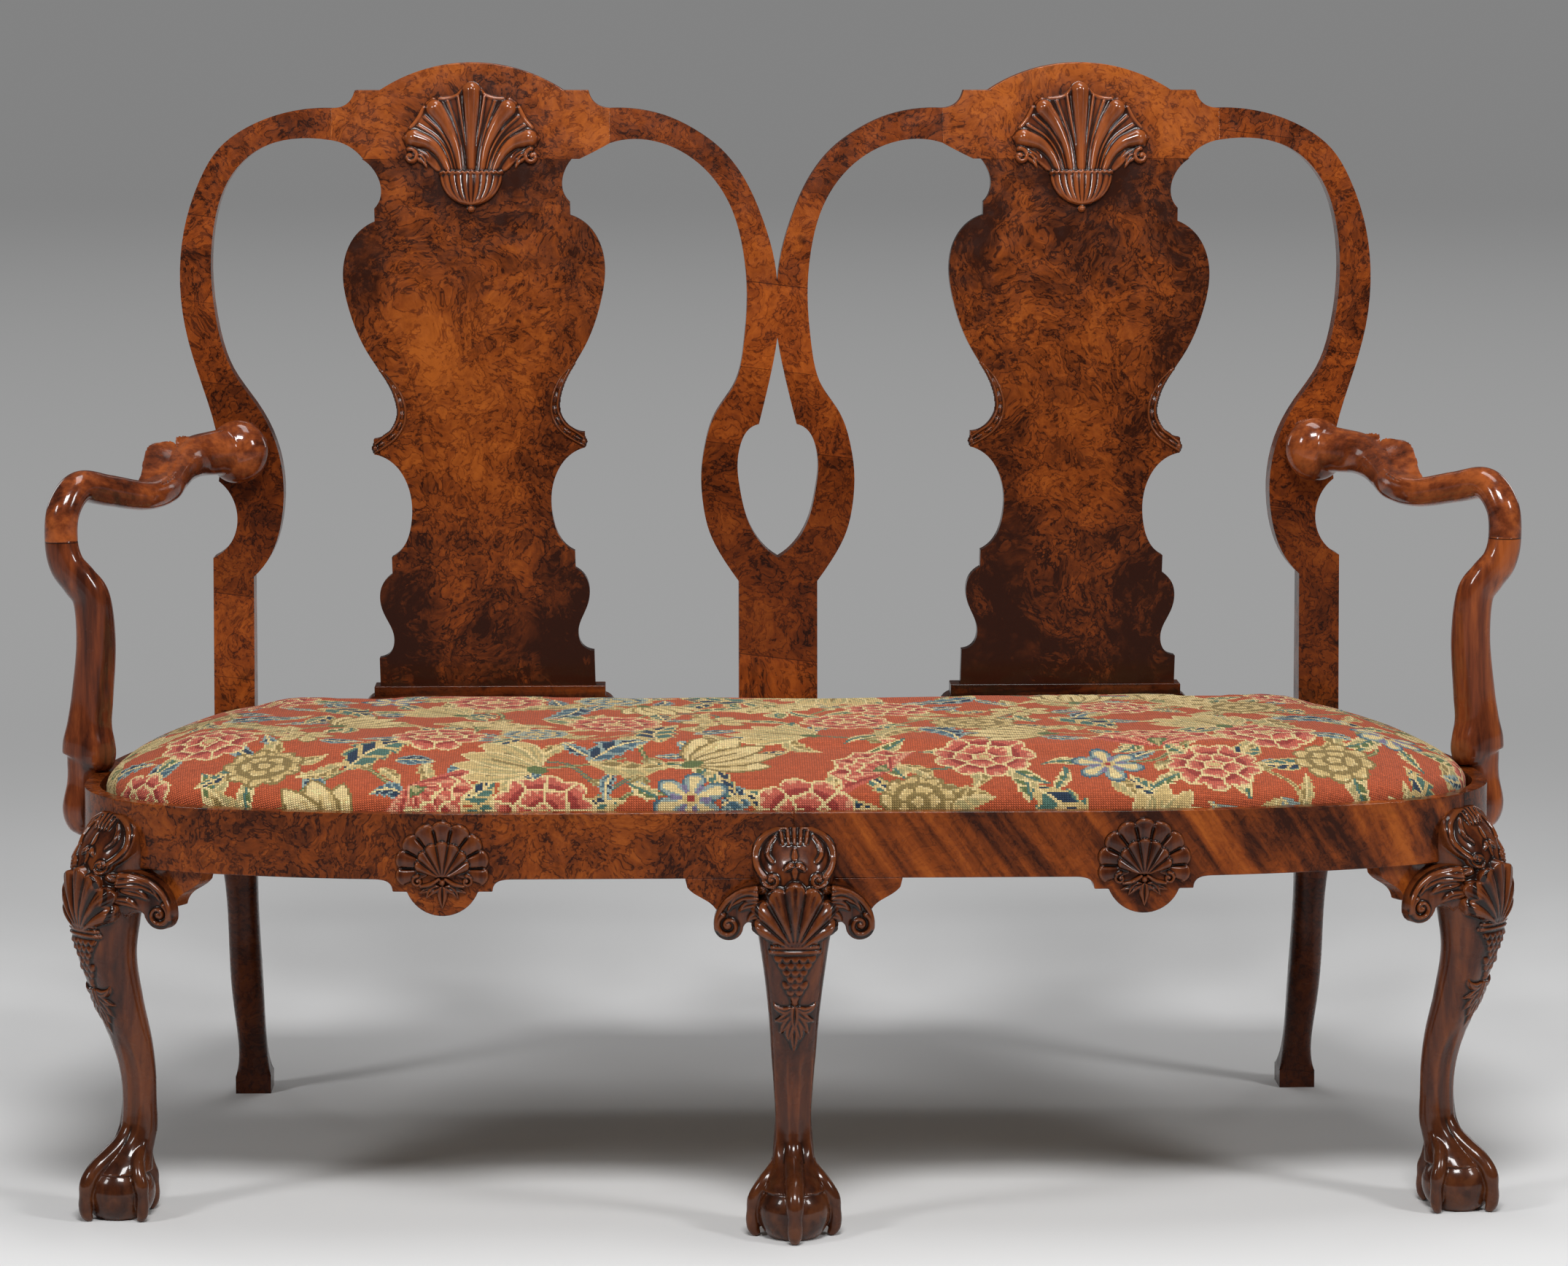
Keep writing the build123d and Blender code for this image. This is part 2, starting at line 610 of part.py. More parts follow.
with BuildPart() as left_stile:
    with BuildSketch(FRONT_VIEW):
        with BuildLine():
            hoop_out = Spline(
                (-CREST_JOINT_OUT, HOOP_TOP),
                (hoop_x(0.333), 617),
                (hoop_x(0.684), 603),
                (hoop_x(0.957), 580),
                (-POST_OUTER - 15, 546),
                (-POST_OUTER - 28, 505),
                (-POST_OUTER - 33, 461),
                (-POST_OUTER - 27.5, 402),
                (-POST_OUTER - 10, 343),
                (-POST_OUTER + 3, 300),
                (-POST_OUTER + 6, 248),
            )
            bite = Spline(
                hoop_out @ 1, (-POST_OUTER + 22, 225), (-POST_OUTER + 24, 204), (-POST_OUTER, 171)
            )
            post_out = Line(bite @ 1, (-POST_OUTER, -RAIL_HEIGHT))
            post_foot = Line(post_out @ 1, (-POST_INNER, -RAIL_HEIGHT))
            post_in = Line(post_foot @ 1, (-POST_INNER, 152))
            hoop_in = Spline(
                post_in @ 1,
                (-POST_INNER + 20.5, 181),
                (-POST_INNER + 28.5, 211),
                (-POST_INNER + 29.5, 255),
                (-POST_INNER + 17.5, 299),
                (-POST_INNER + 0.5, 328),
                (-POST_INNER - 20.5, 358),
                (-POST_INNER - 35.5, 402),
                (-POST_INNER - 42.5, 461),
                (-POST_INNER - 39.5, 505),
                (-POST_INNER - 24.5, 550),
                (hoop_x(0.598), 580),
                (hoop_x(0.222), 590),
                (-CREST_JOINT_OUT, 588),
            )
            Line(hoop_in @ 1, hoop_out @ 0)
        make_face()
    extrude(amount=BACK_SPAN, both=True)
    with BuildSketch(SIDE_VIEW):
        with BuildLine():
            front = Spline(*[(POST_Y + lean, h) for h, lean in BACK_LEAN])
            rear = Spline(
                *[(POST_Y + lean + t, h) for (h, lean), t in zip(BACK_LEAN, STILE_THICK)]
            )
            Polyline(
                front @ 0,
                (POST_Y, -RAIL_HEIGHT),
                (POST_Y + STILE_THICK[0], -RAIL_HEIGHT),
                rear @ 0,
            )
            Line(front @ 1, rear @ 1)
        make_face()
    extrude(amount=BACK_SPAN, both=True, mode=Mode.INTERSECT)
    # Raked rear leg: height, middle x and y, width, depth, corner radius
    leg_steps = (
        (RAIL_BOTTOM, POST_MIDDLE, POST_Y + STILE_THICK[0] / 2, POST_WIDTH, STILE_THICK[0], 2),
        (RAIL_BOTTOM - 70, POST_MIDDLE - 1.25, POST_Y + 26, 37, 37, 9),
        (RAIL_BOTTOM - 170, POST_MIDDLE - 4.75, POST_Y + 41, 32, 33, 13),
        (RAIL_BOTTOM - 250, POST_MIDDLE - 7.75, POST_Y + 61, 30, 32, 13),
        (REAR_FOOT[2] + 18, REAR_FOOT_X, REAR_FOOT_Y - 7.5, 30, 33, 9),
        (REAR_FOOT[2], REAR_FOOT_X, REAR_FOOT_Y, REAR_FOOT[0], REAR_FOOT[1], 3),
    )
    for level, x, y, width, depth, corner in leg_steps:
        with BuildSketch(Plane.XY.offset(level)):
            with Locations((-x, y)):
                RectangleRounded(width, depth, corner)
    loft()
    with Locations((-REAR_FOOT_X, REAR_FOOT_Y, 0)):
        Box(*REAR_FOOT, align=(Align.CENTER, Align.CENTER, Align.MIN))
    add(left_side_rail.part, mode=Mode.SUBTRACT)
    add(rear_rail.part, mode=Mode.SUBTRACT)
    add(left_crest.part, mode=Mode.SUBTRACT)
    with Locations(ARM_SCREW):
        Cylinder(SCREW_RADIUS + HOLE_GAP, 2 * ARM_SCREW_LONG, mode=Mode.SUBTRACT)
left_stile.part.label = "left_stile"

with BuildPart() as right_stile:
    mirror(left_stile.part, about=Plane.YZ)
right_stile.part.label = "right_stile"

with BuildPart() as left_middle_stile:
    with BuildSketch(FRONT_VIEW):
        with BuildLine():
            hoop_top = Spline(
                (-CREST_JOINT_IN, HOOP_TOP),
                (-141, 619),
                (-108, 611),
                (-80, 597),
                (-57, 580),
                (-33, 550),
                (-14, 508),
                (-4, 474),
                (0, 446),
            )
            waist = Line(hoop_top @ 1, (0, 391))
            taper = Spline(waist @ 1, (-6, 358), (-13, 328), (-19, 304))
            lancet = Spline(
                taper @ 1,
                (-30, 298),
                (-38, 282),
                (-40.5, 258),
                (-38, 238),
                (-31, 209),
                (-17, 184),
                (0, 169.6),
            )
            foot_line = Polyline(lancet @ 1, (0, 0), (-MIDDLE_HALF, 0), (-MIDDLE_HALF, 146))
            hoop_side = Spline(
                foot_line @ 1,
                (-54, 167),
                (-69, 196),
                (-75.5, 225),
                (-77, 255),
                (-73, 284),
                (-63, 314),
                (-44, 343),
                (-34, 384),
                (-30.5, 432),
                (-34, 476),
                (-46, 520),
                (-66, 552),
                (-103, 580),
                (-145, 589),
                (-CREST_JOINT_IN, 585),
            )
            Line(hoop_side @ 1, hoop_top @ 0)
        make_face()
    extrude(amount=BACK_SPAN, both=True)
    extrude(back_profile(BOARD_THICK), amount=BACK_SPAN, both=True, mode=Mode.INTERSECT)
    with Locations((-MIDDLE_HALF / 2, (POST_Y + REAR_RAIL_BACK) / 2, RAIL_TOP)):
        Box(
            TENON_THICK,
            TENON_THICK,
            TENON_LONG,
            align=(Align.CENTER, Align.CENTER, Align.MAX),
        )
    add(left_crest.part, mode=Mode.SUBTRACT)
left_middle_stile.part.label = "left_middle_stile"

with BuildPart() as right_middle_stile:
    mirror(left_middle_stile.part, about=Plane.YZ)
right_middle_stile.part.label = "right_middle_stile"

# Cabriole legs

with BuildPart() as middle_leg:
    loft(leg_sections(MIDDLE_LEG, MIDDLE_OUT))
    with Locations(MIDDLE_LEG + MIDDLE_OUT * FOOT_OUT + Vector(0, 0, BALL_HEIGHT)):
        Sphere(BALL_RADIUS)
    for turn in (0, 90, 180, 270):
        loft(talon_sections(MIDDLE_LEG, MIDDLE_OUT, turn))
    split(bisect_by=Plane.XY, keep=Keep.TOP)
    add(left_front_rail.part, mode=Mode.SUBTRACT)
    add(right_front_rail.part, mode=Mode.SUBTRACT)
    extrude(seat_plan(LEDGE, 0, POST_Y), amount=RAIL_HEIGHT, mode=Mode.SUBTRACT)
middle_leg.part.label = "middle_leg"

with BuildPart() as left_leg:
    loft(leg_sections(CORNER_LEG, LEG_OUT))
    with Locations(CORNER_LEG + LEG_OUT * FOOT_OUT + Vector(0, 0, BALL_HEIGHT)):
        Sphere(BALL_RADIUS)
    for turn in (0, 90, 180, 270):
        loft(talon_sections(CORNER_LEG, LEG_OUT, turn))
    split(bisect_by=Plane.XY, keep=Keep.TOP)
    add(left_front_rail.part, mode=Mode.SUBTRACT)
    add(left_side_rail.part, mode=Mode.SUBTRACT)
    extrude(seat_plan(LEDGE, 0, POST_Y), amount=RAIL_HEIGHT, mode=Mode.SUBTRACT)
left_leg.part.label = "left_leg"

with BuildPart() as right_leg:
    mirror(left_leg.part, about=Plane.YZ)
right_leg.part.label = "right_leg"

# Knee ears and brackets

MIDDLE_EARS = ear_plane(MIDDLE_LEG, MIDDLE_OUT, 0)
FRONT_EARS = ear_plane(CORNER_LEG, LEG_OUT, CORNER_EAR_SWEEP)
SIDE_EARS = ear_plane(CORNER_LEG, LEG_OUT, -CORNER_EAR_SWEEP)

with BuildPart() as middle_left_ear:
    extrude(ear_face(MIDDLE_EARS, -1), amount=EAR_DEPTH)
    add(middle_leg.part, mode=Mode.SUBTRACT)
middle_left_ear.part.label = "middle_left_ear"

with BuildPart() as middle_left_bracket:
    extrude(bracket_face(MIDDLE_EARS, -1), amount=-BRACKET_DEPTH)
    add(middle_leg.part, mode=Mode.SUBTRACT)
middle_left_bracket.part.label = "middle_left_bracket"

with BuildPart() as middle_right_ear:
    mirror(middle_left_ear.part, about=Plane.YZ)
middle_right_ear.part.label = "middle_right_ear"

with BuildPart() as middle_right_bracket:
    mirror(middle_left_bracket.part, about=Plane.YZ)
middle_right_bracket.part.label = "middle_right_bracket"

with BuildPart() as left_front_ear:
    extrude(ear_face(FRONT_EARS, 1), amount=EAR_DEPTH)
    add(left_leg.part, mode=Mode.SUBTRACT)
left_front_ear.part.label = "left_front_ear"

with BuildPart() as left_front_bracket:
    extrude(bracket_face(FRONT_EARS, 1), amount=-BRACKET_DEPTH)
    add(left_leg.part, mode=Mode.SUBTRACT)
left_front_bracket.part.label = "left_front_bracket"

with BuildPart() as left_side_ear:
    extrude(ear_face(SIDE_EARS, -1), amount=EAR_DEPTH)
    add(left_leg.part, mode=Mode.SUBTRACT)
left_side_ear.part.label = "left_side_ear"

with BuildPart() as left_side_bracket:
    extrude(bracket_face(SIDE_EARS, -1), amount=-BRACKET_DEPTH)
    add(left_leg.part, mode=Mode.SUBTRACT)
left_side_bracket.part.label = "left_side_bracket"

with BuildPart() as right_front_ear:
    mirror(left_front_ear.part, about=Plane.YZ)
right_front_ear.part.label = "right_front_ear"

with BuildPart() as right_front_bracket:
    mirror(left_front_bracket.part, about=Plane.YZ)
right_front_bracket.part.label = "right_front_bracket"

with BuildPart() as right_side_ear:
    mirror(left_side_ear.part, about=Plane.YZ)
right_side_ear.part.label = "right_side_ear"

with BuildPart() as right_side_bracket:
    mirror(left_side_bracket.part, about=Plane.YZ)
right_side_bracket.part.label = "right_side_bracket"

# Middle strut and rear corner blocks inside the seat frame

with BuildPart() as seat_strut:
    with Locations((0, FRONT_Y + RAIL_THICK, LEDGE)):
        Box(
            STRUT_WIDTH,
            REAR_RAIL_FRONT - FRONT_Y - RAIL_THICK,
            STRUT_HEIGHT,
            align=(Align.CENTER, Align.MIN, Align.MAX),
        )
    add(middle_leg.part, mode=Mode.SUBTRACT)
seat_strut.part.label = "seat_strut"

with BuildPart() as corner_blocks:
    block_x = side_x(REAR_RAIL_FRONT, RAIL_THICK)
    with BuildSketch(Plane.XY.offset(LEDGE - BLOCK_HEIGHT)):
        with BuildLine():
            Polyline(
                (-block_x, REAR_RAIL_FRONT),
                (-block_x + BLOCK_LEG, REAR_RAIL_FRONT),
                (
                    -side_x(REAR_RAIL_FRONT - BLOCK_LEG, RAIL_THICK),
                    REAR_RAIL_FRONT - BLOCK_LEG,
                ),
                close=True,
            )
        make_face()
    extrude(amount=BLOCK_HEIGHT)
    add(left_side_rail.part, mode=Mode.SUBTRACT)
    mirror(about=Plane.YZ)
corner_blocks.part.label = "corner_blocks"

# Carved shells: tapered oval lobes on the crests, round-tipped cones on the front rails

CREST_SHELL_PLANE = Plane(
    origin=(-CREST_X, POST_Y + lean_at(CREST_ROOT), RAIL_TOP + CREST_ROOT),
    x_dir=(1, 0, 0),
    z_dir=(0, -cos(radians(CREST_SHELL_TILT)), sin(radians(CREST_SHELL_TILT))),
)
RAIL_SHELL_PLANE = Plane(
    origin=(-PENDANT_X, FRONT_Y, RAIL_BOTTOM + RAIL_SHELL_ROOT),
    x_dir=(1, 0, 0),
    z_dir=(0, -1, 0),
)

with BuildPart() as left_crest_shell:
    for angle, length, half, rise in CREST_LOBES:
        with BuildSketch(CREST_SHELL_PLANE.offset(-SHELL_SINK)):
            with Locations(Location((0, 0, 0), (0, 0, angle)) * Location((0, length / 2, 0))):
                Ellipse(half, length / 2)
        extrude(amount=SHELL_SINK + rise, taper=LOBE_TAPER)
    with BuildSketch(CREST_SHELL_PLANE.offset(-SHELL_SINK)):
        with Locations((0, -CUP_DROP)):
            Ellipse(CUP_HALF, CUP_RISE)
    extrude(amount=SHELL_SINK + CUP_THICK, taper=LOBE_TAPER)
    with BuildSketch(CREST_SHELL_PLANE.offset(-SHELL_SINK)):
        with Locations((0, -BEAD_DROP)):
            Circle(BEAD_RADIUS)
    extrude(amount=SHELL_SINK + BEAD_RADIUS)
    add(left_crest.part, mode=Mode.SUBTRACT)
    add(left_splat.part, mode=Mode.SUBTRACT)
left_crest_shell.part.label = "left_crest_shell"

with BuildPart() as right_crest_shell:
    mirror(left_crest_shell.part, about=Plane.YZ)
right_crest_shell.part.label = "right_crest_shell"

with BuildPart(RAIL_SHELL_PLANE) as left_rail_shell:
    for angle, length, root, tip in RAIL_LOBES + RAIL_LEAVES:
        with Locations(Location((0, 0, 0), (0, 0, angle)) * Location((0, 0, 0), (-90, 0, 0))):
            Cone(root, tip, length, align=(Align.CENTER, Align.CENTER, Align.MIN))
            with Locations((0, 0, length)):
                Sphere(tip)
    extrude(
        seat_plan(RAIL_BOTTOM - ROUND_DROP, 0, POST_Y),
        amount=RAIL_HEIGHT + ROUND_DROP,
        mode=Mode.SUBTRACT,
    )
left_rail_shell.part.label = "left_rail_shell"

with BuildPart() as right_rail_shell:
    mirror(left_rail_shell.part, about=Plane.YZ)
right_rail_shell.part.label = "right_rail_shell"

# Arms: centre line from the ball on the stile to the crook and down the support


def arm_path():
    """Points of the arm's centre line with the width and depth of the arm there."""
    support = side_x(SIDE_SCREW_Y, 0)
    ball = Vector(-ARM_SCREW_X, POST_Y + ARM_BALL[1][0], RAIL_TOP)
    shoulder = Vector(-support - ARM_CROOK[0][0], SIDE_SCREW_Y + ARM_CROOK[0][1], RAIL_TOP)
    path = []
    for offset, width, height in ARM_BALL:
        path.append((Vector(ball.X, POST_Y + offset, RAIL_TOP + ARM_SCREW_RISE), width, height))
    for over, on, h, width, depth in ARM_RUN:
        x = ball.X + over * (shoulder.X - ball.X)
        y = ball.Y + on * (shoulder.Y - ball.Y)
        path.append((Vector(x, y, RAIL_TOP + h), width, depth))
    for out, on, h, width, depth in ARM_CROOK:
        path.append((Vector(-support - out, SIDE_SCREW_Y + on, RAIL_TOP + h), width, depth))
    return path


ARM_PATH = arm_path()
ARM_JOINT = len(ARM_BALL) + len(ARM_RUN) + SCARF


def arm_sections(first, last):
    """Oval sections square to the arm's centre line, turning as little as they can."""
    points = [point for point, _, _ in ARM_PATH]
    across = Vector(1, 1, 0)
    sections = []
    for i, (point, width, depth) in enumerate(ARM_PATH):
        along = (points[min(i + 1, len(points) - 1)] - points[max(i - 1, 0)]).normalized()
        across = (across - along * across.dot(along)).normalized()
        if first <= i <= last:
            with BuildSketch(Plane(point, x_dir=across, z_dir=along)) as section:
                Ellipse(width / 2, depth / 2)
            sections.append(section.sketch)
    return sections


with BuildPart() as left_arm:
    loft(arm_sections(0, ARM_JOINT))
    add(left_stile.part, mode=Mode.SUBTRACT)
    split(bisect_by=Plane.XZ.offset(-(POST_Y + STILE_THICK[2])), keep=Keep.TOP)
    with Locations(ARM_SCREW):
        Cylinder(SCREW_RADIUS + HOLE_GAP, 2 * ARM_SCREW_LONG, mode=Mode.SUBTRACT)
left_arm.part.label = "left_arm"

with BuildPart() as right_arm:
    mirror(left_arm.part, about=Plane.YZ)
right_arm.part.label = "right_arm"

with BuildPart() as left_arm_support:
    loft(arm_sections(ARM_JOINT, len(ARM_PATH) - 1))
    extrude(
        seat_plan(RAIL_BOTTOM - RAIL_HEIGHT, 0, POST_Y),
        amount=2 * RAIL_HEIGHT,
        mode=Mode.SUBTRACT,
    )
    extrude(
        seat_plan(RAIL_TOP, ARM_CLEAR, POST_Y),
        amount=4 * RAIL_HEIGHT,
        mode=Mode.SUBTRACT,
    )
    with Locations(*SIDE_SCREWS):
        Cylinder(SCREW_RADIUS + HOLE_GAP, 2 * SIDE_SCREW_LONG, mode=Mode.SUBTRACT)
left_arm_support.part.label = "left_arm_support"

with BuildPart() as right_arm_support:
    mirror(left_arm_support.part, about=Plane.YZ)
right_arm_support.part.label = "right_arm_support"

# Loose seat frame

SEAT_REAR = POST_Y - SHOE_FRONT - SEAT_REAR_GAP
FRAME_INSET = SEAT_INSET + COVER_THICK + SOFT_GAP
FRAME_REAR = SEAT_REAR - COVER_THICK - SOFT_GAP
FRAME_TOP = LEDGE + SEAT_FRAME_THICK

with BuildPart() as seat_front_rail:
    extrude(seat_plan(LEDGE, FRAME_INSET, FRAME_REAR), amount=SEAT_FRAME_THICK)
    extrude(
        seat_plan(LEDGE, FRAME_INSET + SEAT_FRAME_WIDTH, FRAME_REAR - SEAT_FRAME_WIDTH),
        amount=SEAT_FRAME_THICK,
        mode=Mode.SUBTRACT,
    )
    split(bisect_by=LEFT_CORNER, keep=Keep.TOP)
    split(
        bisect_by=Plane(origin=(CORNER_X, CORNER_Y, 0), z_dir=(LEG_OUT.Y, LEG_OUT.X, 0)),
        keep=Keep.TOP,
    )
    split(bisect_by=Plane.XZ.offset(-CORNER_Y), keep=Keep.TOP)
seat_front_rail.part.label = "seat_front_rail"

with BuildPart() as seat_rear_rail:
    extrude(seat_plan(LEDGE, FRAME_INSET, FRAME_REAR), amount=SEAT_FRAME_THICK)
    split(bisect_by=Plane.XZ.offset(-(FRAME_REAR - SEAT_FRAME_WIDTH)), keep=Keep.BOTTOM)
seat_rear_rail.part.label = "seat_rear_rail"

with BuildPart() as seat_left_rail:
    extrude(
        seat_plan(LEDGE, FRAME_INSET, FRAME_REAR - SEAT_FRAME_WIDTH),
        amount=SEAT_FRAME_THICK,
    )
    extrude(
        seat_plan(LEDGE, FRAME_INSET + SEAT_FRAME_WIDTH, FRAME_REAR),
        amount=SEAT_FRAME_THICK,
        mode=Mode.SUBTRACT,
    )
    split(bisect_by=Plane.YZ, keep=Keep.BOTTOM)
    add(seat_front_rail.part, mode=Mode.SUBTRACT)
seat_left_rail.part.label = "seat_left_rail"

with BuildPart() as seat_right_rail:
    mirror(seat_left_rail.part, about=Plane.YZ)
seat_right_rail.part.label = "seat_right_rail"

with BuildPart() as seat_bar:
    with Locations((0, FRONT_Y + FRAME_INSET + SEAT_FRAME_WIDTH, LEDGE)):
        Box(
            SEAT_FRAME_WIDTH,
            FRAME_REAR - FRONT_Y - FRAME_INSET - 2 * SEAT_FRAME_WIDTH,
            SEAT_FRAME_THICK,
            align=(Align.CENTER, Align.MIN, Align.MIN),
        )
seat_bar.part.label = "seat_bar"

# Webbing: short bands front to rear, long bands across on top of them

WEB_INSET = FRAME_INSET + WEB_MARGIN

with BuildPart() as webbing:
    with Locations(*[(x, (FRONT_Y + FRAME_REAR) / 2, FRAME_TOP) for x in WEB_SHORT]):
        Box(
            WEB_WIDTH,
            FRAME_REAR - FRONT_Y,
            WEB_THICK,
            align=(Align.CENTER, Align.CENTER, Align.MIN),
        )
    with Locations(*[(0, y, FRAME_TOP + WEB_THICK) for y in WEB_LONG]):
        Box(
            2 * SEAT_HALF,
            WEB_WIDTH,
            WEB_THICK,
            align=(Align.CENTER, Align.CENTER, Align.MIN),
        )
    extrude(
        seat_plan(FRAME_TOP, WEB_INSET, FRAME_REAR - WEB_MARGIN),
        amount=2 * WEB_THICK,
        mode=Mode.INTERSECT,
    )
webbing.part.label = "webbing"

# Stuffing and cover: an upright side wall, then an elliptic crown over the frame

STUFFING_FOOT = FRAME_TOP + 2 * WEB_THICK


def crown_sections(shrink, foot):
    """Plans of the crowned seat, shrunk by an even thickness, from a foot level up."""
    turns = [radians(90 * step / CROWN_STEPS) for step in range(CROWN_STEPS + 1)]
    levels = [foot] + [LEDGE + WALL_HEIGHT + CROWN_RISE * sin(turn) - shrink for turn in turns]
    sections = []
    for level in levels:
        if level < foot or level == foot and sections:
            continue
        share = min(max(level + shrink - LEDGE - WALL_HEIGHT, 0) / CROWN_RISE, 1)
        inset = CROWN_RUN * (1 - cos(asin(share))) + shrink
        sections.append(seat_plan(level, SEAT_INSET + inset, SEAT_REAR - inset))
    return sections


with BuildPart() as stuffing:
    loft(crown_sections(COVER_THICK + STUFFING_GAP, STUFFING_FOOT), ruled=True)
stuffing.part.label = "stuffing"

with BuildPart() as needlework_cover:
    loft(crown_sections(0, LEDGE + COVER_THICK), ruled=True)
    loft(crown_sections(COVER_THICK, LEDGE), ruled=True, mode=Mode.SUBTRACT)
needlework_cover.part.label = "needlework_cover"

# Screws through the side rails into the arm supports and through the stiles into the arms

with BuildPart() as arm_screws:
    with Locations(*SIDE_SCREWS):
        Cylinder(SCREW_RADIUS, SIDE_SCREW_LONG, align=(Align.CENTER, Align.CENTER, Align.MIN))
        Cylinder(SCREW_HEAD, SCREW_HEAD_THICK, align=(Align.CENTER, Align.CENTER, Align.MAX))
    with Locations(ARM_SCREW):
        Cylinder(SCREW_RADIUS, ARM_SCREW_LONG, align=(Align.CENTER, Align.CENTER, Align.MIN))
    mirror(about=Plane.YZ)
arm_screws.part.label = "arm_screws"

PIECES = (
    left_stile,
    right_stile,
    left_middle_stile,
    right_middle_stile,
    left_crest,
    right_crest,
    left_splat,
    right_splat,
    left_shoe,
    right_shoe,
    left_crest_shell,
    right_crest_shell,
    left_front_rail,
    right_front_rail,
    left_side_rail,
    right_side_rail,
    rear_rail,
    seat_strut,
    corner_blocks,
    left_rail_shell,
    right_rail_shell,
    left_leg,
    middle_leg,
    right_leg,
    left_front_ear,
    left_side_ear,
    middle_left_ear,
    middle_right_ear,
    right_front_ear,
    right_side_ear,
    left_front_bracket,
    left_side_bracket,
    middle_left_bracket,
    middle_right_bracket,
    right_front_bracket,
    right_side_bracket,
    left_arm,
    right_arm,
    left_arm_support,
    right_arm_support,
    arm_screws,
    seat_front_rail,
    seat_rear_rail,
    seat_left_rail,
    seat_right_rail,
    seat_bar,
    webbing,
    stuffing,
    needlework_cover,
)
for piece in PIECES:
    export_step(piece.part, f"parts/{piece.part.label}.step")
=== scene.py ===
import math

import bmesh
import bpy
import numpy as np
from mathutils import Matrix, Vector
from mathutils.bvhtree import BVHTree


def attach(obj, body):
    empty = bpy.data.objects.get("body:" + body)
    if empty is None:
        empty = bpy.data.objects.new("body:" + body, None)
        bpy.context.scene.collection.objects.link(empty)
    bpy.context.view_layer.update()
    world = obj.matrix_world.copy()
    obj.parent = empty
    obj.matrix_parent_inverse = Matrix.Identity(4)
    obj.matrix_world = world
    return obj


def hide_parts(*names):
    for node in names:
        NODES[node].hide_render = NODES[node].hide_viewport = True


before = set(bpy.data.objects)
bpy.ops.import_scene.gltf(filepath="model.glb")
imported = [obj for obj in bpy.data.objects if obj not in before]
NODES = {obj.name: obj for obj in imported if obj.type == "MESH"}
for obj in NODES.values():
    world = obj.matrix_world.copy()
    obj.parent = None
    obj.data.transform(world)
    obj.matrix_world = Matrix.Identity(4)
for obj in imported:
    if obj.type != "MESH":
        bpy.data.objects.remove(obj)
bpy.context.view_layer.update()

SCENE = bpy.context.scene
MM = 0.001
RAIL_TOP, RAIL_FOOT = 388.0, 328.0


# Mesh helpers, in millimetres until a mesh is made

def curve(keys, t, column):
    """Smooth interpolation of one column of a key table over its first column."""
    keys = np.asarray(keys, float)
    x, y = keys[:, 0], keys[:, column]
    slope = np.gradient(y, x)
    i = np.clip(np.searchsorted(x, t) - 1, 0, len(x) - 2)
    h = x[i + 1] - x[i]
    s = np.clip((t - x[i]) / h, 0, 1)
    a = (1 + 2 * s) * (1 - s) ** 2 * y[i] + s * (1 - s) ** 2 * h * slope[i]
    return a + s * s * (3 - 2 * s) * y[i + 1] + s * s * (s - 1) * h * slope[i + 1]


def step(low, high, x):
    """Smooth step from 0 at low to 1 at high."""
    s = np.clip((x - low) / (high - low), 0, 1)
    return s * s * (3 - 2 * s)


def add_object(name, me, material=None):
    """New object of a mesh, in one material and shaded smooth."""
    o = bpy.data.objects.new(name, me)
    SCENE.collection.objects.link(o)
    me.materials.clear()
    if material:
        me.materials.append(material)
    me.shade_smooth()
    return o


def make_object(name, co, faces, material=None):
    """New object from points in millimetres and a list or array of faces."""
    me = bpy.data.meshes.new(name)
    me.from_pydata(np.asarray(co, float) * MM, [], faces)
    me.validate()
    return add_object(name, me, material)


def grid_faces(rows, cols, closed=False):
    """Quads of a grid of rows by cols points; closed joins the last column to the first."""
    r = np.arange(rows - 1)[:, None]
    c = np.arange(cols if closed else cols - 1)[None, :]
    d = (c + 1) % cols
    quads = np.stack([r * cols + c, r * cols + d, (r + 1) * cols + d, (r + 1) * cols + c], -1)
    return quads.reshape(-1, 4)


def tube_faces(rows, cols):
    """Quads of a closed tube with both ends capped by one polygon each."""
    faces = grid_faces(rows, cols, True).tolist()
    faces.append(list(range(cols))[::-1])
    faces.append(list(range((rows - 1) * cols, rows * cols)))
    return faces


def freeze(o):
    """Applies the object's modifiers to its mesh."""
    bpy.context.view_layer.update()
    made = bpy.data.meshes.new_from_object(o.evaluated_get(bpy.context.evaluated_depsgraph_get()))
    o.modifiers.clear()
    o.data = made


def voxel(o, size):
    """Fuses the object's overlapping shells into one even skin; size in millimetres."""
    m = o.modifiers.new("skin", "REMESH")
    m.mode = "VOXEL"
    m.voxel_size = size * MM
    m.adaptivity = 0
    freeze(o)
    o.data.shade_smooth()


def points_of(me):
    co = np.empty(len(me.vertices) * 3, np.float32)
    me.vertices.foreach_get("co", co)
    return co.reshape(-1, 3).astype(float) / MM


def put_points(me, co):
    me.vertices.foreach_set("co", (co * MM).astype(np.float32).ravel())
    me.update()


def normals_of(me):
    no = np.empty(len(me.vertices) * 3, np.float32)
    me.vertex_normals.foreach_get("vector", no)
    return no.reshape(-1, 3).astype(float)


def relax(values, edges, rounds, share=0.5):
    """Averages values over mesh neighbours."""
    a, b = edges.T
    size = len(values)
    count = np.maximum(np.bincount(edges.ravel(), minlength=size), 1).astype(float)
    for _ in range(rounds):
        columns = values.reshape(size, -1).T
        total = [np.bincount(a, c[b], size) + np.bincount(b, c[a], size) for c in columns]
        mean = np.stack([t / count for t in total], 1).reshape(values.shape)
        values = values + share * (mean - values)
    return values


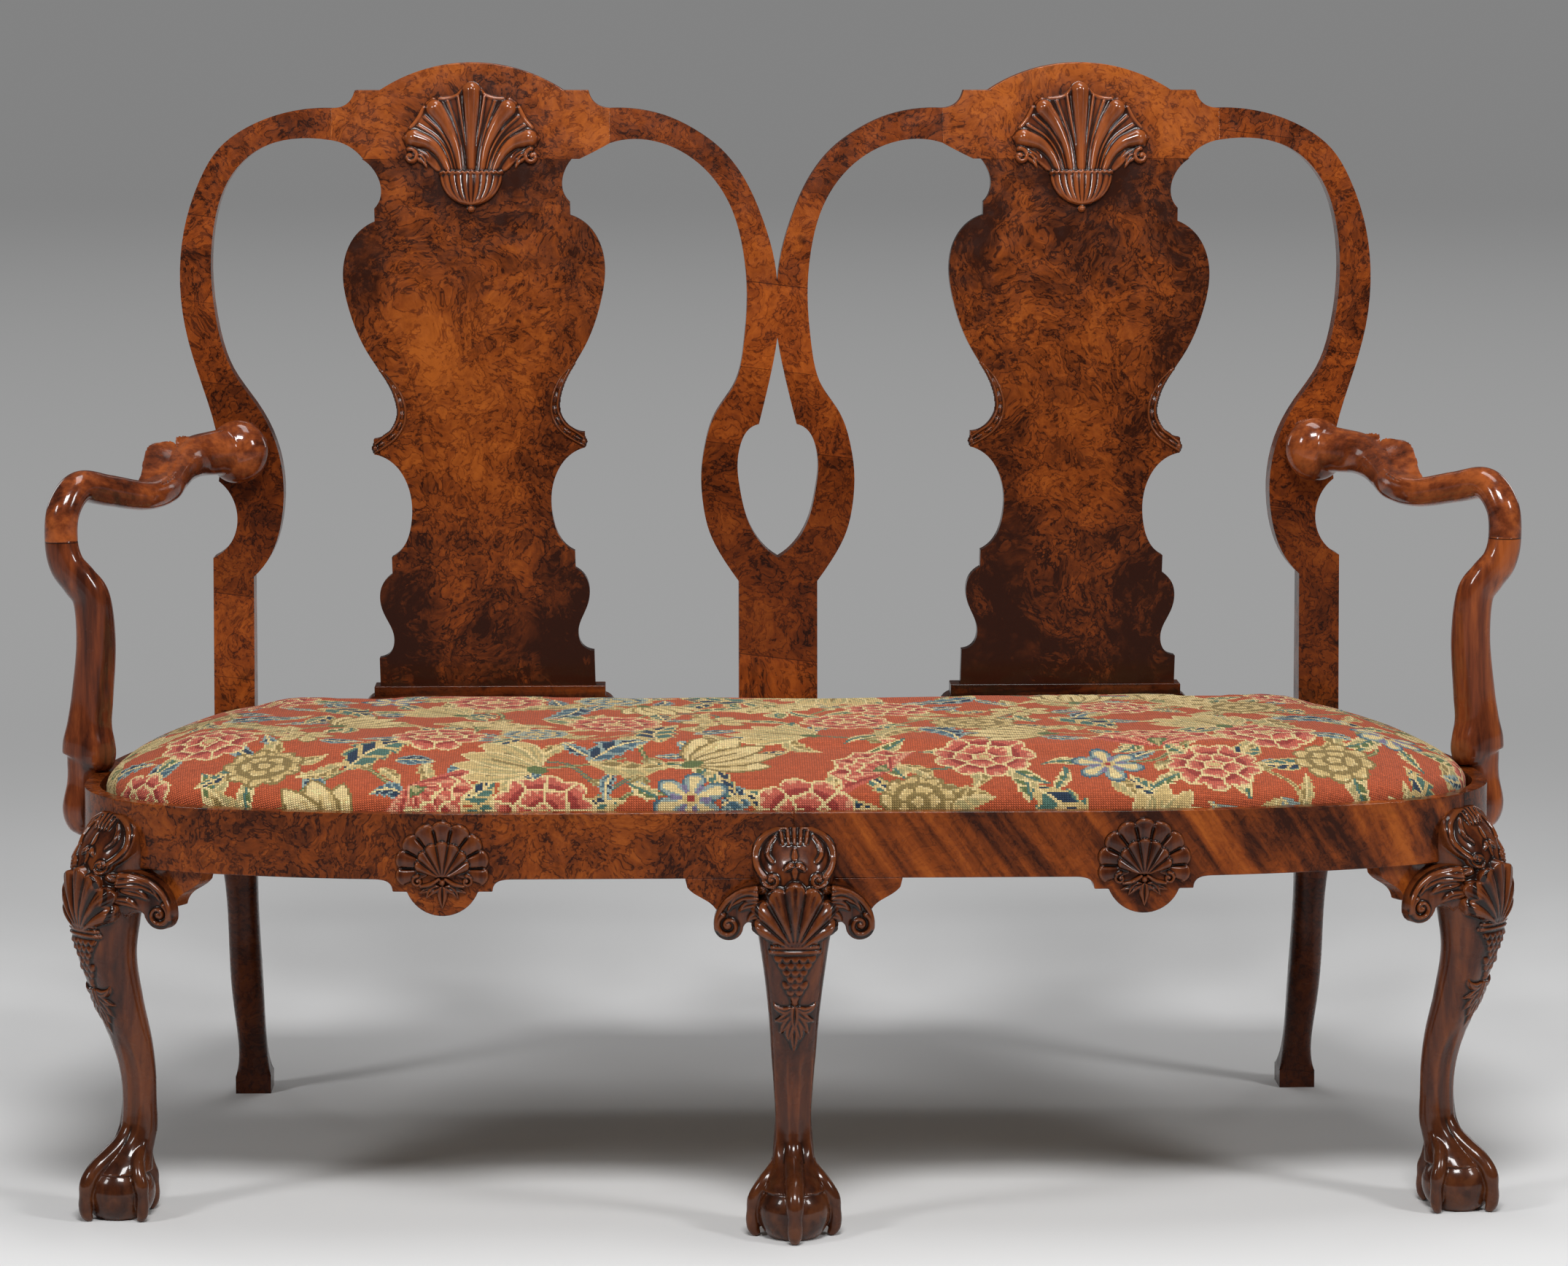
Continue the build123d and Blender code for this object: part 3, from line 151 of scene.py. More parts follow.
def edges_of(me):
    e = np.empty(len(me.edges) * 2, np.int32)
    me.edges.foreach_get("vertices", e)
    return e.reshape(-1, 2)


def settle(o, rounds=1, share=0.4):
    """Softens a dense mesh a little."""
    me = o.data
    put_points(me, relax(points_of(me), edges_of(me), rounds, share))


def mark_hollows(o, rounds=14, depth=0.7, known=None):
    """Keeps on each point how deep it lies in a carved hollow, 0.5 for level ground."""
    me = o.data
    co, edges = points_of(me), edges_of(me)
    no = normals_of(me)
    wide = ((relax(co, edges, rounds, 0.6) - co) * no).sum(1)
    near = ((relax(co, edges, 3, 0.6) - co) * no).sum(1)
    value = np.clip(0.5 + (0.7 * wide + 0.9 * near) / (2 * depth), 0, 1)
    value = relax(value, edges, 1, 0.5)
    if known is not None:
        value = np.where(known > 0.5, np.maximum(value, known), np.minimum(value, known))
    layer = me.attributes.new("hollow", "FLOAT", "POINT")
    layer.data.foreach_set("value", value.astype(np.float32))


def mend(me, *steps):
    """Runs bmesh steps on a mesh in place."""
    bm = bmesh.new()
    bm.from_mesh(me)
    for run in steps:
        run(bm)
    bm.to_mesh(me)
    bm.free()


def face_out(bm):
    bmesh.ops.recalc_face_normals(bm, faces=bm.faces)


def join(shells):
    """Points and faces of several shells as one list each."""
    points, faces, base = [], [], 0
    for p, f in shells:
        points.append(p)
        faces += [[i + base for i in q] for q in f]
        base += len(p)
    return np.vstack(points), faces


def ball_shell(centre, radii, rows, cols, tip):
    """Points of a ball as rows by cols, open by tip at its poles."""
    lat = np.linspace(-math.pi / 2 + tip, math.pi / 2 - tip, rows)
    lon = np.linspace(0, 2 * math.pi, cols, endpoint=False)
    return np.stack([
        centre[0] + radii[0] * np.cos(lat)[:, None] * np.cos(lon),
        centre[1] + radii[1] * np.cos(lat)[:, None] * np.sin(lon),
        centre[2] + radii[2] * np.sin(lat)[:, None] * np.ones(cols),
    ], -1).reshape(-1, 3)


def sweep_keys(keys, at, columns):
    """Columns of a key table, smoothly read at places counted in keys."""
    count = np.arange(len(keys))
    return np.stack([curve(np.column_stack([count, keys[:, k]]), at, 1) for k in columns], 1)


def superellipse(count, power):
    """Unit points round a squared circle."""
    a = np.linspace(0, 2 * math.pi, count, endpoint=False)
    c, s = np.cos(a), np.sin(a)
    p = 2 / power
    return np.sign(c) * np.abs(c) ** p, np.sign(s) * np.abs(s) ** p


def tree_of(*names):
    """Ray-cast tree over CAD nodes, in metres."""
    bm = bmesh.new()
    for n in names:
        bm.from_mesh(NODES[n].data)
    t = BVHTree.FromBMesh(bm)
    bm.free()
    return t


def finish_piece(o, body, slot, *nodes):
    """Puts a finished piece on its body in place of CAD nodes."""
    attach(o, body)
    if nodes:
        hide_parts(*nodes)
    return o


def within(x, y, line):
    """Which places lie inside a closed line."""
    found = np.zeros(x.shape, bool)
    for (ax, ay), (bx, by) in zip(line, np.roll(line, -1, 0)):
        if ay != by:
            found ^= ((ay > y) != (by > y)) & (x < (bx - ax) * (y - ay) / (by - ay) + ax)
    return found


def bilinear(field, u, v):
    """Field read between its points, at places counted in columns and rows."""
    rows, cols = field.shape[:2]
    u, v = np.clip(u, 0, cols - 1.001), np.clip(v, 0, rows - 1.001)
    i, j = u.astype(int), v.astype(int)
    a, b = u - i, v - j
    if field.ndim > 2:
        a, b = a[..., None], b[..., None]
    low = field[j, i] * (1 - a) + field[j, i + 1] * a
    high = field[j + 1, i] * (1 - a) + field[j + 1, i + 1] * a
    return low * (1 - b) + high * b


# Carving: a height map in millimetres over a flat field

class Relief:
    def __init__(self, x0, x1, z0, z1, pitch=0.4):
        self.x0, self.z0, self.pitch = x0, z0, pitch
        xs = np.arange(x0, x1 + pitch, pitch)
        zs = np.arange(z0, z1 + pitch, pitch)
        self.X, self.Z = np.meshgrid(xs, zs)
        self.h = np.zeros_like(self.X)

    def window(self, pts, margin):
        """Slice of the field that holds a line and a margin round it."""
        pts = np.asarray(pts, float)
        low = (pts.min(0) - margin - (self.x0, self.z0)) / self.pitch
        high = (pts.max(0) + margin - (self.x0, self.z0)) / self.pitch + 2
        a, b = np.maximum(low, 0).astype(int), np.maximum(high, 0).astype(int)
        return np.s_[a[1]:b[1], a[0]:b[0]]

    def put(self, h, w=np.s_[:, :]):
        self.h[w] = np.maximum(self.h[w], h)

    def along(self, pts, margin):
        """Window round a polyline with each point's distance from it and share of its length."""
        pts = np.asarray(pts, float)
        w = self.window(pts, margin)
        X, Z = self.X[w], self.Z[w]
        leg = np.hypot(*(pts[1:] - pts[:-1]).T)
        run = np.concatenate([[0], np.cumsum(leg)])
        best = np.full(X.shape, 1e9)
        share = np.zeros(X.shape)
        for i in range(len(leg)):
            if leg[i] < 1e-9:
                continue
            d = (pts[i + 1] - pts[i]) / leg[i]
            px, pz = X - pts[i, 0], Z - pts[i, 1]
            t = np.clip(px * d[0] + pz * d[1], 0, leg[i])
            r = np.hypot(px - t * d[0], pz - t * d[1])
            near = r < best
            best = np.where(near, r, best)
            share = np.where(near, (run[i] + t) / run[-1], share)
        return w, best, share

    def rib(self, pts, widths, heights):
        """Half-round rib along a line; widths and heights are spread evenly along it."""
        w, d, s = self.along(smooth_line(pts), max(widths))
        half = np.interp(s, np.linspace(0, 1, len(widths)), widths)
        h = np.interp(s, np.linspace(0, 1, len(heights)), heights)
        self.put(h * np.sqrt(np.clip(1 - (d / half) ** 2, 0, 1)), w)

    def knob(self, x, z, rx, rz, h):
        w = self.window([(x, z)], max(rx, rz))
        q = 1 - ((self.X[w] - x) / rx) ** 2 - ((self.Z[w] - z) / rz) ** 2
        self.put(h * np.sqrt(np.clip(q, 0, 1)), w)

    def leaf(self, pts, half, h, vein=0.9, lobes=0):
        """Pointed leaf with a sunk vein along a line."""
        w, d, s = self.along(smooth_line(pts), half)
        wide = half * np.sin(math.pi * np.clip(s, 0.001, 0.999) ** 0.62)
        if lobes:
            wide = wide * (1 - 0.25 * np.abs(np.sin(math.pi * lobes * s)) ** 3)
        q = d / np.maximum(wide, 0.05)
        top = h * np.clip(1 - q ** 2, 0, 1) ** 0.45 * (0.5 + 0.5 * np.minimum(1, q / 0.35))
        self.put(np.where(q < 1, top - vein * np.clip(1 - d / 0.7, 0, 1), 0), w)

    def spiral(self, x, z, outer, turns, side, start, half, h, eye):
        """Rib winding inward round an eye."""
        a = np.linspace(0, 2 * math.pi * turns, 60)
        r = outer * (1 - 0.78 * a / a[-1])
        ang = math.radians(start) + side * a
        self.rib(np.stack([x + r * np.cos(ang), z + r * np.sin(ang)], 1), (half, half * 0.6), (h, h * 0.8))
        self.knob(x, z, eye, eye, h)

    def fill(self, pts, h, soft=1.0):
        """Level ground inside a closed outline, with a soft edge."""
        pts = np.asarray(pts, float)
        w, d, _ = self.along(np.vstack([pts, pts[:1]]), soft)
        held = within(self.X[w], self.Z[w], pts)
        self.put(np.where(held, h * np.clip(d / soft, 0, 1) ** 0.5, 0), w)

    def pair(self, cut, pts, *sizes):
        """The same cut on both sides of the middle."""
        for side in (1, -1):
            cut([(side * x, z) for x, z in pts], *sizes)

    def fan(self, foot, turn, lobes):
        """Share of a shell's half turn, distance from its foot, and lobes counted from one side."""
        ang = np.degrees(np.arctan2(self.X, self.Z - foot))
        phase = (ang + turn) / (2 * turn) * lobes
        return np.abs(ang) / turn, np.hypot(self.X, self.Z - foot), phase

    def soften(self, rounds=1):
        for _ in range(rounds):
            p = np.pad(self.h, 1, mode="edge")
            self.h = (p[1:-1, 1:-1] * 2 + p[:-2, 1:-1] + p[2:, 1:-1] + p[1:-1, :-2] + p[1:-1, 2:]) / 6

    def hollows(self, rounds, depth):
        """How far each place lies below the ground round it, 0.5 for level ground."""
        keep = self.h
        self.soften(rounds)
        deep = np.clip(0.5 + (self.h - keep) / (2 * depth), 0, 1)
        self.h = keep
        return deep

    def at(self, x, z, h=None, empty=0):
        """Height, or another map's value, at given places."""
        u, v = (x - self.x0) / self.pitch, (z - self.z0) / self.pitch
        rows, cols = self.h.shape
        ok = (u >= 0) & (v >= 0) & (u < cols - 1) & (v < rows - 1)
        return np.where(ok, bilinear(self.h if h is None else h, u, v), empty)


def smooth_line(pts, count=None):
    """Rounds a line of a few points into a flowing one."""
    pts = np.asarray(pts, float)
    if len(pts) < 3:
        return pts
    t = np.arange(len(pts))
    fine = np.linspace(0, len(pts) - 1, count or (len(pts) - 1) * 8 + 1)
    return np.stack([curve(np.column_stack([t, pts[:, k]]), fine, 1) for k in (0, 1)], 1)


# Materials

def node(tree, kind, inputs=None, **props):
    """New node; an input is a value of the material or a plain default."""
    n = tree.nodes.new(kind)
    for k, v in props.items():
        setattr(n, k, v)
    for k, v in (inputs or {}).items():
        if isinstance(v, Val):
            tree.links.new(v.socket, n.inputs[k])
        else:
            n.inputs[k].default_value = v
    return n


class Val:
    """A value inside a material; sums on it make math nodes."""

    def __init__(self, n, out=0):
        self.tree, self.socket = n.id_data, n.outputs[out]

    def op(self, kind, b=0.0):
        return Val(node(self.tree, "ShaderNodeMath", {0: self, 1: b}, operation=kind))

    def __add__(self, b):
        return self.op("ADD", b)

    def __sub__(self, b):
        return self.op("SUBTRACT", b)

    def __mul__(self, b):
        return self.op("MULTIPLY", b)

    def __truediv__(self, b):
        return self.op("DIVIDE", b)

    def __abs__(self):
        return self.op("ABSOLUTE")

    def window(self, low, high, a=0.0, b=1.0):
        """Smooth passage from a at low to b at high."""
        inputs = {0: self, 1: low, 2: high, 3: a, 4: b}
        return Val(node(self.tree, "ShaderNodeMapRange", inputs, interpolation_type="SMOOTHSTEP"))

    def parts(self):
        n = node(self.tree, "ShaderNodeSeparateXYZ", {0: self})
        return [Val(n, k) for k in range(3)]


def mix(fac, a, b, blend="MIX"):
    """Mix of two colours, each a value or three numbers."""
    tree = next(v.tree for v in (fac, a, b) if isinstance(v, Val))
    a, b = ((*v, 1) if isinstance(v, tuple) else v for v in (a, b))
    return Val(node(tree, "ShaderNodeMix", {0: fac, 6: a, 7: b}, data_type="RGBA", blend_type=blend), 2)


def ramp(fac, *stops):
    n = node(fac.tree, "ShaderNodeValToRGB", {0: fac})
    e = n.color_ramp.elements
    while len(e) < len(stops):
        e.new(0.5)
    for item, (at, colour) in zip(e, stops):
        item.position = at
        item.color = (*colour, 1)
    return Val(n)


def grey(v):
    return Val(node(v.tree, "ShaderNodeCombineColor", {0: v, 1: v, 2: v}))


def noise(vector, scale, detail=3.0, rough=0.5, twist=0.0, out="Fac"):
    return Val(node(vector.tree, "ShaderNodeTexNoise", {
        "Vector": vector, "Scale": scale, "Detail": detail, "Roughness": rough, "Distortion": twist}), out)


def start_material(name):
    """New material and its object space."""
    m = bpy.data.materials.new(name)
    m.use_nodes = True
    return m, Val(node(m.node_tree, "ShaderNodeTexCoord"), "Object")


def dress(m, colour, rough, height=None, strength=0.0, distance=0.0, **sockets):
    """Joins colour, roughness and bump to the material's shader and sets its other sockets."""
    t = m.node_tree
    shader = t.nodes["Principled BSDF"]
    values = {"Base Color": colour, "Roughness": rough}
    values.update((k.replace("_", " "), v) for k, v in sockets.items())
    if height is not None:
        bump = {"Height": height, "Strength": strength, "Distance": distance}
        values["Normal"] = Val(node(t, "ShaderNodeBump", bump))
    for name, v in values.items():
        if isinstance(v, Val):
            t.links.new(v.socket, shader.inputs[name])
        else:
            shader.inputs[name].default_value = v
    return m


def warped(place, scale, amount):
    """Object space pushed about by noise, for swirling figure."""
    t = place.tree
    push = noise(place, scale, 3.0, out="Color")
    push = Val(node(t, "ShaderNodeVectorMath", {0: push, 1: (0.5, 0.5, 0.5)}, operation="SUBTRACT"))
    push = Val(node(t, "ShaderNodeVectorMath", {0: push, "Scale": amount}, operation="SCALE"))
    return Val(node(t, "ShaderNodeVectorMath", {0: place, 1: push}, operation="ADD"))


def turned(place, angles=(0, 0, 0), scale=(1, 1, 1)):
    """Space turned by angles and then stretched, for the run of the grain."""
    rotation, stretch = tuple(math.radians(a) for a in angles), tuple(1 / s for s in scale)
    inputs = {"Vector": place, "Rotation": rotation, "Scale": stretch}
    return Val(node(place.tree, "ShaderNodeMapping", inputs, vector_type="TEXTURE"))


DARK = (0.030, 0.0072, 0.0028)
BROWN = (0.120, 0.0265, 0.0060)
RUST = (0.225, 0.049, 0.0082)
GOLD = (0.385, 0.097, 0.0140)
# Near-black of grime, used also as painted shade in carved hollows
DIRT_AND_SHADE = (0.011, 0.0038, 0.0022)
# Middle of a crest shell and height of the scarf between an arm and its support, in metres
SHELL_X, SHELL_Z, SCARF_Z = 0.308, 0.970, 0.6068


def burr(name, light=1.0, red=0.0, lift=0.0, joints=None, centre=None, grain=None, rough=0.25, fade=0.0):
    """Polished walnut veneer: swirling burr figure, eyes, dark patches and joint lines."""
    m, place = start_material(name)
    x, _, z = place.parts()
    swirl = warped(place, 11.0, 0.075)
    body = noise(swirl, 26.0, 5.0, 0.62)
    vein = (body * 66.0).op("SINE").window(0.35, 1.0)
    swim = noise(swirl, 62.0, 4.0, 0.6, 1.2)
    fleck = noise(swirl, 170.0, 4.0, 0.65)
    big = noise(place, 6.0, 3.0, 0.55)
    value = fleck * 0.40 + big * 0.55 + body * 0.75 + swim * 0.50 - vein * 0.19 - (0.63 - lift)
    if grain:
        stretch = warped(turned(place, grain, (1, 1, 0.07)), 9.0, 0.03)
        streak = noise(stretch, 95.0, 4.0, 0.6) * 0.75 + noise(stretch, 30.0, 3.0, 0.5) * 0.75
        value = streak * 1.25 + (value * 0.35 - 0.68)
    if centre:
        # Golden in the middle of the board and a darker band of veneer along each edge; darker at the foot
        # and along the top as painted shade
        off = abs(abs(x) - (z * 0.0314 + (centre - 0.0135)))
        limit = z.window(0.70, 0.82, 0.056, 0.094) - 0.015
        past = off - (noise(place, 16.0, 3.0) * 0.03 + limit)
        value += past.window(-0.03, 0.012, 0.07, -0.07)
        value += z.window(0.43, 0.66, -0.27, 0.01)
        value += z.window(0.78, 0.90, 0.0, -0.11)
    # Painted light on the top of the crest: darker below about 930 mm
    if fade:
        value += z.window(0.930, 0.985, -fade, 0.0)
    # Painted shadow round the crest shell: darker close round its middle
    near, over = (abs(x) - SHELL_X) * 0.9, z - SHELL_Z
    ring = (near * near + over * over).op("SQRT")
    value = (value + ring.window(0.050, 0.080, -0.22, 0.0)) * 1.28 - 0.135
    colour = ramp(value, (0.14, DARK), (0.35, BROWN), (0.53, RUST), (0.84, GOLD))
    eyes = Val(node(m.node_tree, "ShaderNodeTexVoronoi", {"Vector": swirl, "Scale": 58.0}), "Distance")
    spot = eyes.window(0.34, 0.06) * noise(place, 11.0, 2.0).window(0.53, 0.66)
    colour = mix(spot * 0.78, colour, DARK)
    colour = mix(noise(swirl, 21.0, 4.0, 0.65).window(0.54, 0.74) * 0.6, colour, BROWN)
    if centre:
        colour = mix(abs(past).window(0.0002, 0.0012, 0.35, 0.0) * big.window(0.40, 0.55), colour, DARK)
    if joints:
        # Dark rear legs; lengths of veneer, uneven in length and tone, with a thin dark line between
        colour = mix(z.window(0.33, 0.42, 0.65, 0.0), colour, DARK)
        pitch, tilt = joints
        run = x * tilt + z
        run = (run * 17.0).op("SINE") * 0.35 + run / pitch
        part = {"W": run.op("FLOOR")}
        tone = Val(node(m.node_tree, "ShaderNodeTexWhiteNoise", part, noise_dimensions="1D"))
        tone = ramp(tone, (0.0, (0.70, 0.66, 0.62)), (1.0, (1.12, 1.08, 1.04)))
        colour = mix(1.0, colour, tone, "MULTIPLY")
        colour = mix(abs(run.op("FRACT") - 0.5).window(0.4945, 0.4985, 0.0, 0.8), colour, DARK)
    colour = mix(1.0, colour, (light, light * (1 - 0.22 * red), light * (1 - 0.3 * red)), "MULTIPLY")
    wear = noise(place, 60.0, 3.0).window(0.25, 0.8, rough - 0.05, rough + 0.09)
    pores = noise(turned(swirl, (0, 0, 0), (1, 1, 0.35)), 700.0, 2.0)
    return dress(m, colour, wear, pores, 0.05, 0.0006,
                 Coat_Weight=0.3, Coat_Roughness=0.08, Specular_IOR_Level=0.1)


def carved(name, light=1.0, grain=(0, 0, 0), rough=0.26, use_hollow=True, coat=0.4):
    """Solid carved walnut: straight grain, near-black grime and painted shade in hollows, worn ridges."""
    m, place = start_material(name)
    high = place.parts()[2]
    long = warped(turned(place, grain, (1, 1, 0.09)), 12.0, 0.02)
    value = noise(long, 120.0, 5.0, 0.62) * 0.55 + noise(long, 28.0, 3.0, 0.5) * 0.65
    colour = ramp(value, (0.44, (0.026, 0.0058, 0.0024)), (0.58, (0.092, 0.0200, 0.0058)),
                  (0.74, (0.200, 0.049, 0.0112)))
    if use_hollow:
        deep = Val(node(m.node_tree, "ShaderNodeAttribute", attribute_name="hollow"), "Fac")
        colour = mix(deep.window(0.46, 0.18) * 0.55, colour, (0.27, 0.072, 0.018))
        # Near-black in the hollows: grime, and painted shade in the deep carving
        colour = mix(deep.window(0.52, 0.72) * 0.93, colour, DIRT_AND_SHADE)
        # Darker towards the foot, rubbed lighter in places
        colour = mix(high.window(0.13, 0.07) * 0.5, colour, (0.030, 0.011, 0.0055))
        rub = high.window(0.075, 0.02) * noise(place, 55.0, 4.0).window(0.45, 0.62)
        colour = mix(rub * 0.55, colour, (0.19, 0.058, 0.018))
    else:
        # Thin dark line of the scarf between an arm and its support
        colour = mix(abs(high - SCARF_Z).window(0.0003, 0.0010, 0.85, 0.0), colour, DIRT_AND_SHADE)
    scuff = noise(place, 34.0, 5.0, 0.7).window(0.56, 0.72)
    colour = mix(scuff * 0.35, colour, (0.035, 0.0095, 0.004))
    colour = mix(1.0, colour, (light, light, light), "MULTIPLY")
    wear = noise(place, 70.0, 3.0).window(0.25, 0.8, rough - 0.06, rough + 0.1)
    pores = noise(long, 600.0, 2.0)
    return dress(m, colour, wear, pores, 0.06, 0.0008,
                 Coat_Weight=coat, Coat_Roughness=0.08, Specular_IOR_Level=0.12)


def raw_wood(name, tint, grain=(0, 90, 0)):
    """Unpolished inner timber."""
    m, place = start_material(name)
    lines = noise(warped(turned(place, grain, (1, 1, 0.06)), 10.0, 0.02), 90.0, 5.0, 0.6)
    colour = ramp(lines, (0.3, tuple(0.45 * c for c in tint)), (0.7, tint))
    grime = noise(place, 16.0, 4.0).window(0.5, 0.75)
    colour = mix(grime * 0.5, colour, tuple(0.35 * c for c in tint))
    return dress(m, colour, lines.window(0.2, 0.8, 0.62, 0.8), lines, 0.25, 0.0012)


def canvas_cloth(name, tint, pitch):
    """Plain coarse weave for webbing and stuffing cover."""
    m, place = start_material(name)
    a, b = ((v * (2 * math.pi / pitch)).op("SINE") for v in place.parts()[:2])
    weave = a * b * 0.5 + 0.5
    # Painted shade of the weave: darker where the threads dip under
    colour = mix(weave, tuple(0.6 * c for c in tint), tint)
    old = noise(place, 30.0, 4.0).window(0.45, 0.75, 0.0, 0.45)
    colour = mix(old, colour, tuple(0.45 * c for c in tint))
    return dress(m, colour, 0.9, weave, 0.5, 0.0008)


def old_steel(name):
    """Screw steel with spots of rust."""
    m, place = start_material(name)
    rust = noise(place, 300.0, 4.0).window(0.42, 0.62)
    colour = mix(rust, (0.32, 0.30, 0.27), (0.13, 0.075, 0.045))
    return dress(m, colour, rust.window(0.0, 1.0, 0.38, 0.7), Metallic=0.85)


def needlework(name):
    """Wool tent stitch: one colour to a stitch, slanting ridges, a soft nap and painted shade between the
    stitches.
    """
    m, place = start_material(name)
    thread = Val(node(m.node_tree, "ShaderNodeAttribute", attribute_name="stitch"), "Color")
    wool = noise(place, 900.0, 3.0, 0.7)
    shade = ramp(wool, (0.25, (0.72, 0.72, 0.72)), (0.75, (1.12, 1.12, 1.12)))
    colour = mix(1.0, thread, shade, "MULTIPLY")
    u, v = Val(node(m.node_tree, "ShaderNodeUVMap", uv_map="cloth")).parts()[:2]
    u, v = u.op("FRACT"), v.op("FRACT")
    ridge = abs(u + v - 1.0).window(0.05, 0.72, 1.0, 0.0)
    rim = abs(u - 0.5).window(0.36, 0.5, 1.0, 0.0) * abs(v - 0.5).window(0.36, 0.5, 1.0, 0.0)
    height = wool * 0.25 + ridge * rim
    # Painted shade between the stitches and painted light on their ridges, following the stitch relief
    colour = mix(1.0, colour, grey(height.window(0.05, 0.5, 0.5, 1.05)), "MULTIPLY")
    return dress(m, colour, 0.92, height, 0.85, 0.0011,
                 Sheen_Weight=0.08, Sheen_Roughness=0.5, Specular_IOR_Level=0.2)


BURR = burr("burr_walnut", 0.92, centre=0.292)
CREST_WOOD = burr("crest_walnut", 1.0, red=0.05, lift=0.14, fade=0.2)
STILE_WOOD = burr("stile_walnut", 0.9, red=0.2, lift=0.03, joints=(0.125, 0.12))
RAIL_LEFT = burr("rail_burr", 0.9, red=0.1, lift=0.03)
RAIL_RIGHT = burr("rail_striped", 0.95, red=0.15, lift=0.05, grain=(0, -36, 0))
SIDE_WOOD = burr("side_walnut", 0.7, red=0.2)
SHOE_WOOD = burr("shoe_walnut", 0.6, red=0.3, grain=(0, 88, 0))
LEG_WOOD = carved("carved_walnut", 0.74, coat=0.5)
SHELL_WOOD = carved("shell_walnut", 1.45, rough=0.18, coat=1.0)
EDGE_WOOD = carved("edging_walnut", 0.8, rough=0.2)
ARM_WOOD = carved("arm_walnut", 1.8, grain=(70, 0, 0), rough=0.2, use_hollow=False, coat=0.7)
POST_WOOD = carved("support_walnut", 1.7, rough=0.2, use_hollow=False, coat=0.7)
FRAME_WOOD = raw_wood("frame_timber", (0.20, 0.105, 0.048))
BACK_WOOD = raw_wood("back_timber", (0.13, 0.052, 0.022), (0, 0, 0))
WEBBING = canvas_cloth("webbing_jute", (0.36, 0.27, 0.16), 0.003)
TICKING = canvas_cloth("ticking", (0.50, 0.42, 0.30), 0.002)
STEEL = old_steel("screw_steel")
NEEDLE = needlework("needlework_wool")


# Boards: CAD nodes with worn, rounded arrises

BACK_LOW, BACK_TOP = 394, 1054


def back_face():
    """Heights and depths of the back's curved front face, from the points of its boards."""
    names = ("left_stile", "left_middle_stile", "left_crest", "left_splat")
    co = np.vstack([points_of(NODES[n].data) for n in names])
    rows = []
    for low in np.arange(BACK_LOW, BACK_TOP, 6.0):
        some = co[(co[:, 2] >= low) & (co[:, 2] < low + 6)]
        if len(some):
            rows.append(some[some[:, 1].argmin()][[2, 1]])
    return np.array(rows)


FACE = back_face()


def board(name, cad, material, width=1.6, rounds=3, back=False):
    """Copy of a rigid node with its sharp edges eased; back boards are cut finely along their curve."""
    bm = bmesh.new()
    bm.from_mesh(NODES[cad].data)
    bmesh.ops.remove_doubles(bm, verts=bm.verts, dist=0.00002)
    bmesh.ops.dissolve_limit(bm, angle_limit=math.radians(0.4), verts=bm.verts, edges=bm.edges)
    sharp = [e for e in bm.edges if e.is_manifold and e.calc_face_angle(0) > math.radians(32)]
    bmesh.ops.bevel(bm, geom=sharp, offset=width * MM, segments=rounds, profile=0.5,
                    affect="EDGES", clamp_overlap=True)
    if back:
        for z in np.arange(BACK_LOW + 2, BACK_TOP - 2, 8.0):
            bmesh.ops.bisect_plane(bm, geom=bm.verts[:] + bm.edges[:] + bm.faces[:], dist=1e-6,
                                   plane_co=(0, 0, z * MM), plane_no=(0, 0, 1))
    face_out(bm)
    me = bpy.data.meshes.new(name)
    bm.to_mesh(me)
    bm.free()
    if back:
        co = points_of(me)
        true = curve(FACE, np.clip(co[:, 2], FACE[0, 0], FACE[-1, 0]), 1)
        on = (np.abs(co[:, 1] - true) < 0.45) & (co[:, 2] > BACK_LOW)
        co[on, 1] = true[on]
        put_points(me, co)
    o = add_object(name, me, material)
    me.set_sharp_from_angle(angle=math.radians(38))
    even = o.modifiers.new("even_shading", "WEIGHTED_NORMAL")
    even.weight = 100
    even.keep_sharp = True
    return o


# Node by hand, wood on the left and on the right, width of the eased edges, slot
BOARDS = (
    ("{}_stile", STILE_WOOD, STILE_WOOD, 2.4, "stile_walnut"),
    ("{}_middle_stile", STILE_WOOD, STILE_WOOD, 2.2, "stile_walnut"),
    ("{}_crest", CREST_WOOD, CREST_WOOD, 3.0, "burr_walnut"),
    ("{}_splat", BURR, BURR, 1.6, "burr_walnut"),
    ("{}_shoe", SHOE_WOOD, SHOE_WOOD, 1.2, "stile_walnut"),
    ("{}_front_rail", RAIL_LEFT, RAIL_RIGHT, 2.2, "burr_walnut"),
    ("{}_side_rail", SIDE_WOOD, SIDE_WOOD, 2.2, "burr_walnut"),
    ("{}_front_bracket", RAIL_LEFT, RAIL_RIGHT, 1.2, "burr_walnut"),
    ("{}_side_bracket", SIDE_WOOD, SIDE_WOOD, 1.2, "burr_walnut"),
    ("middle_{}_bracket", RAIL_LEFT, RAIL_RIGHT, 1.2, "burr_walnut"),
)
for label, left, right, width, slot in BOARDS:
    for hand, wood in (("left", left), ("right", right)):
        cad = label.format(hand)
        back = cad.endswith(("stile", "crest", "splat"))
        finish_piece(board(cad + "_wood", cad, wood, width, back=back), "frame", slot, cad)
finish_piece(board("rear_rail_wood", "rear_rail", BACK_WOOD, 1.5), "frame", "plain_wood", "rear_rail")

SEAT_TIMBER = ["seat_" + n for n in ("strut", "front_rail", "rear_rail", "left_rail", "right_rail", "bar")]
for cad in SEAT_TIMBER + ["corner_blocks", "arm_screws"]:
    NODES[cad].data.materials.clear()
    NODES[cad].data.materials.append(STEEL if cad == "arm_screws" else FRAME_WOOD)


# Cabriole legs

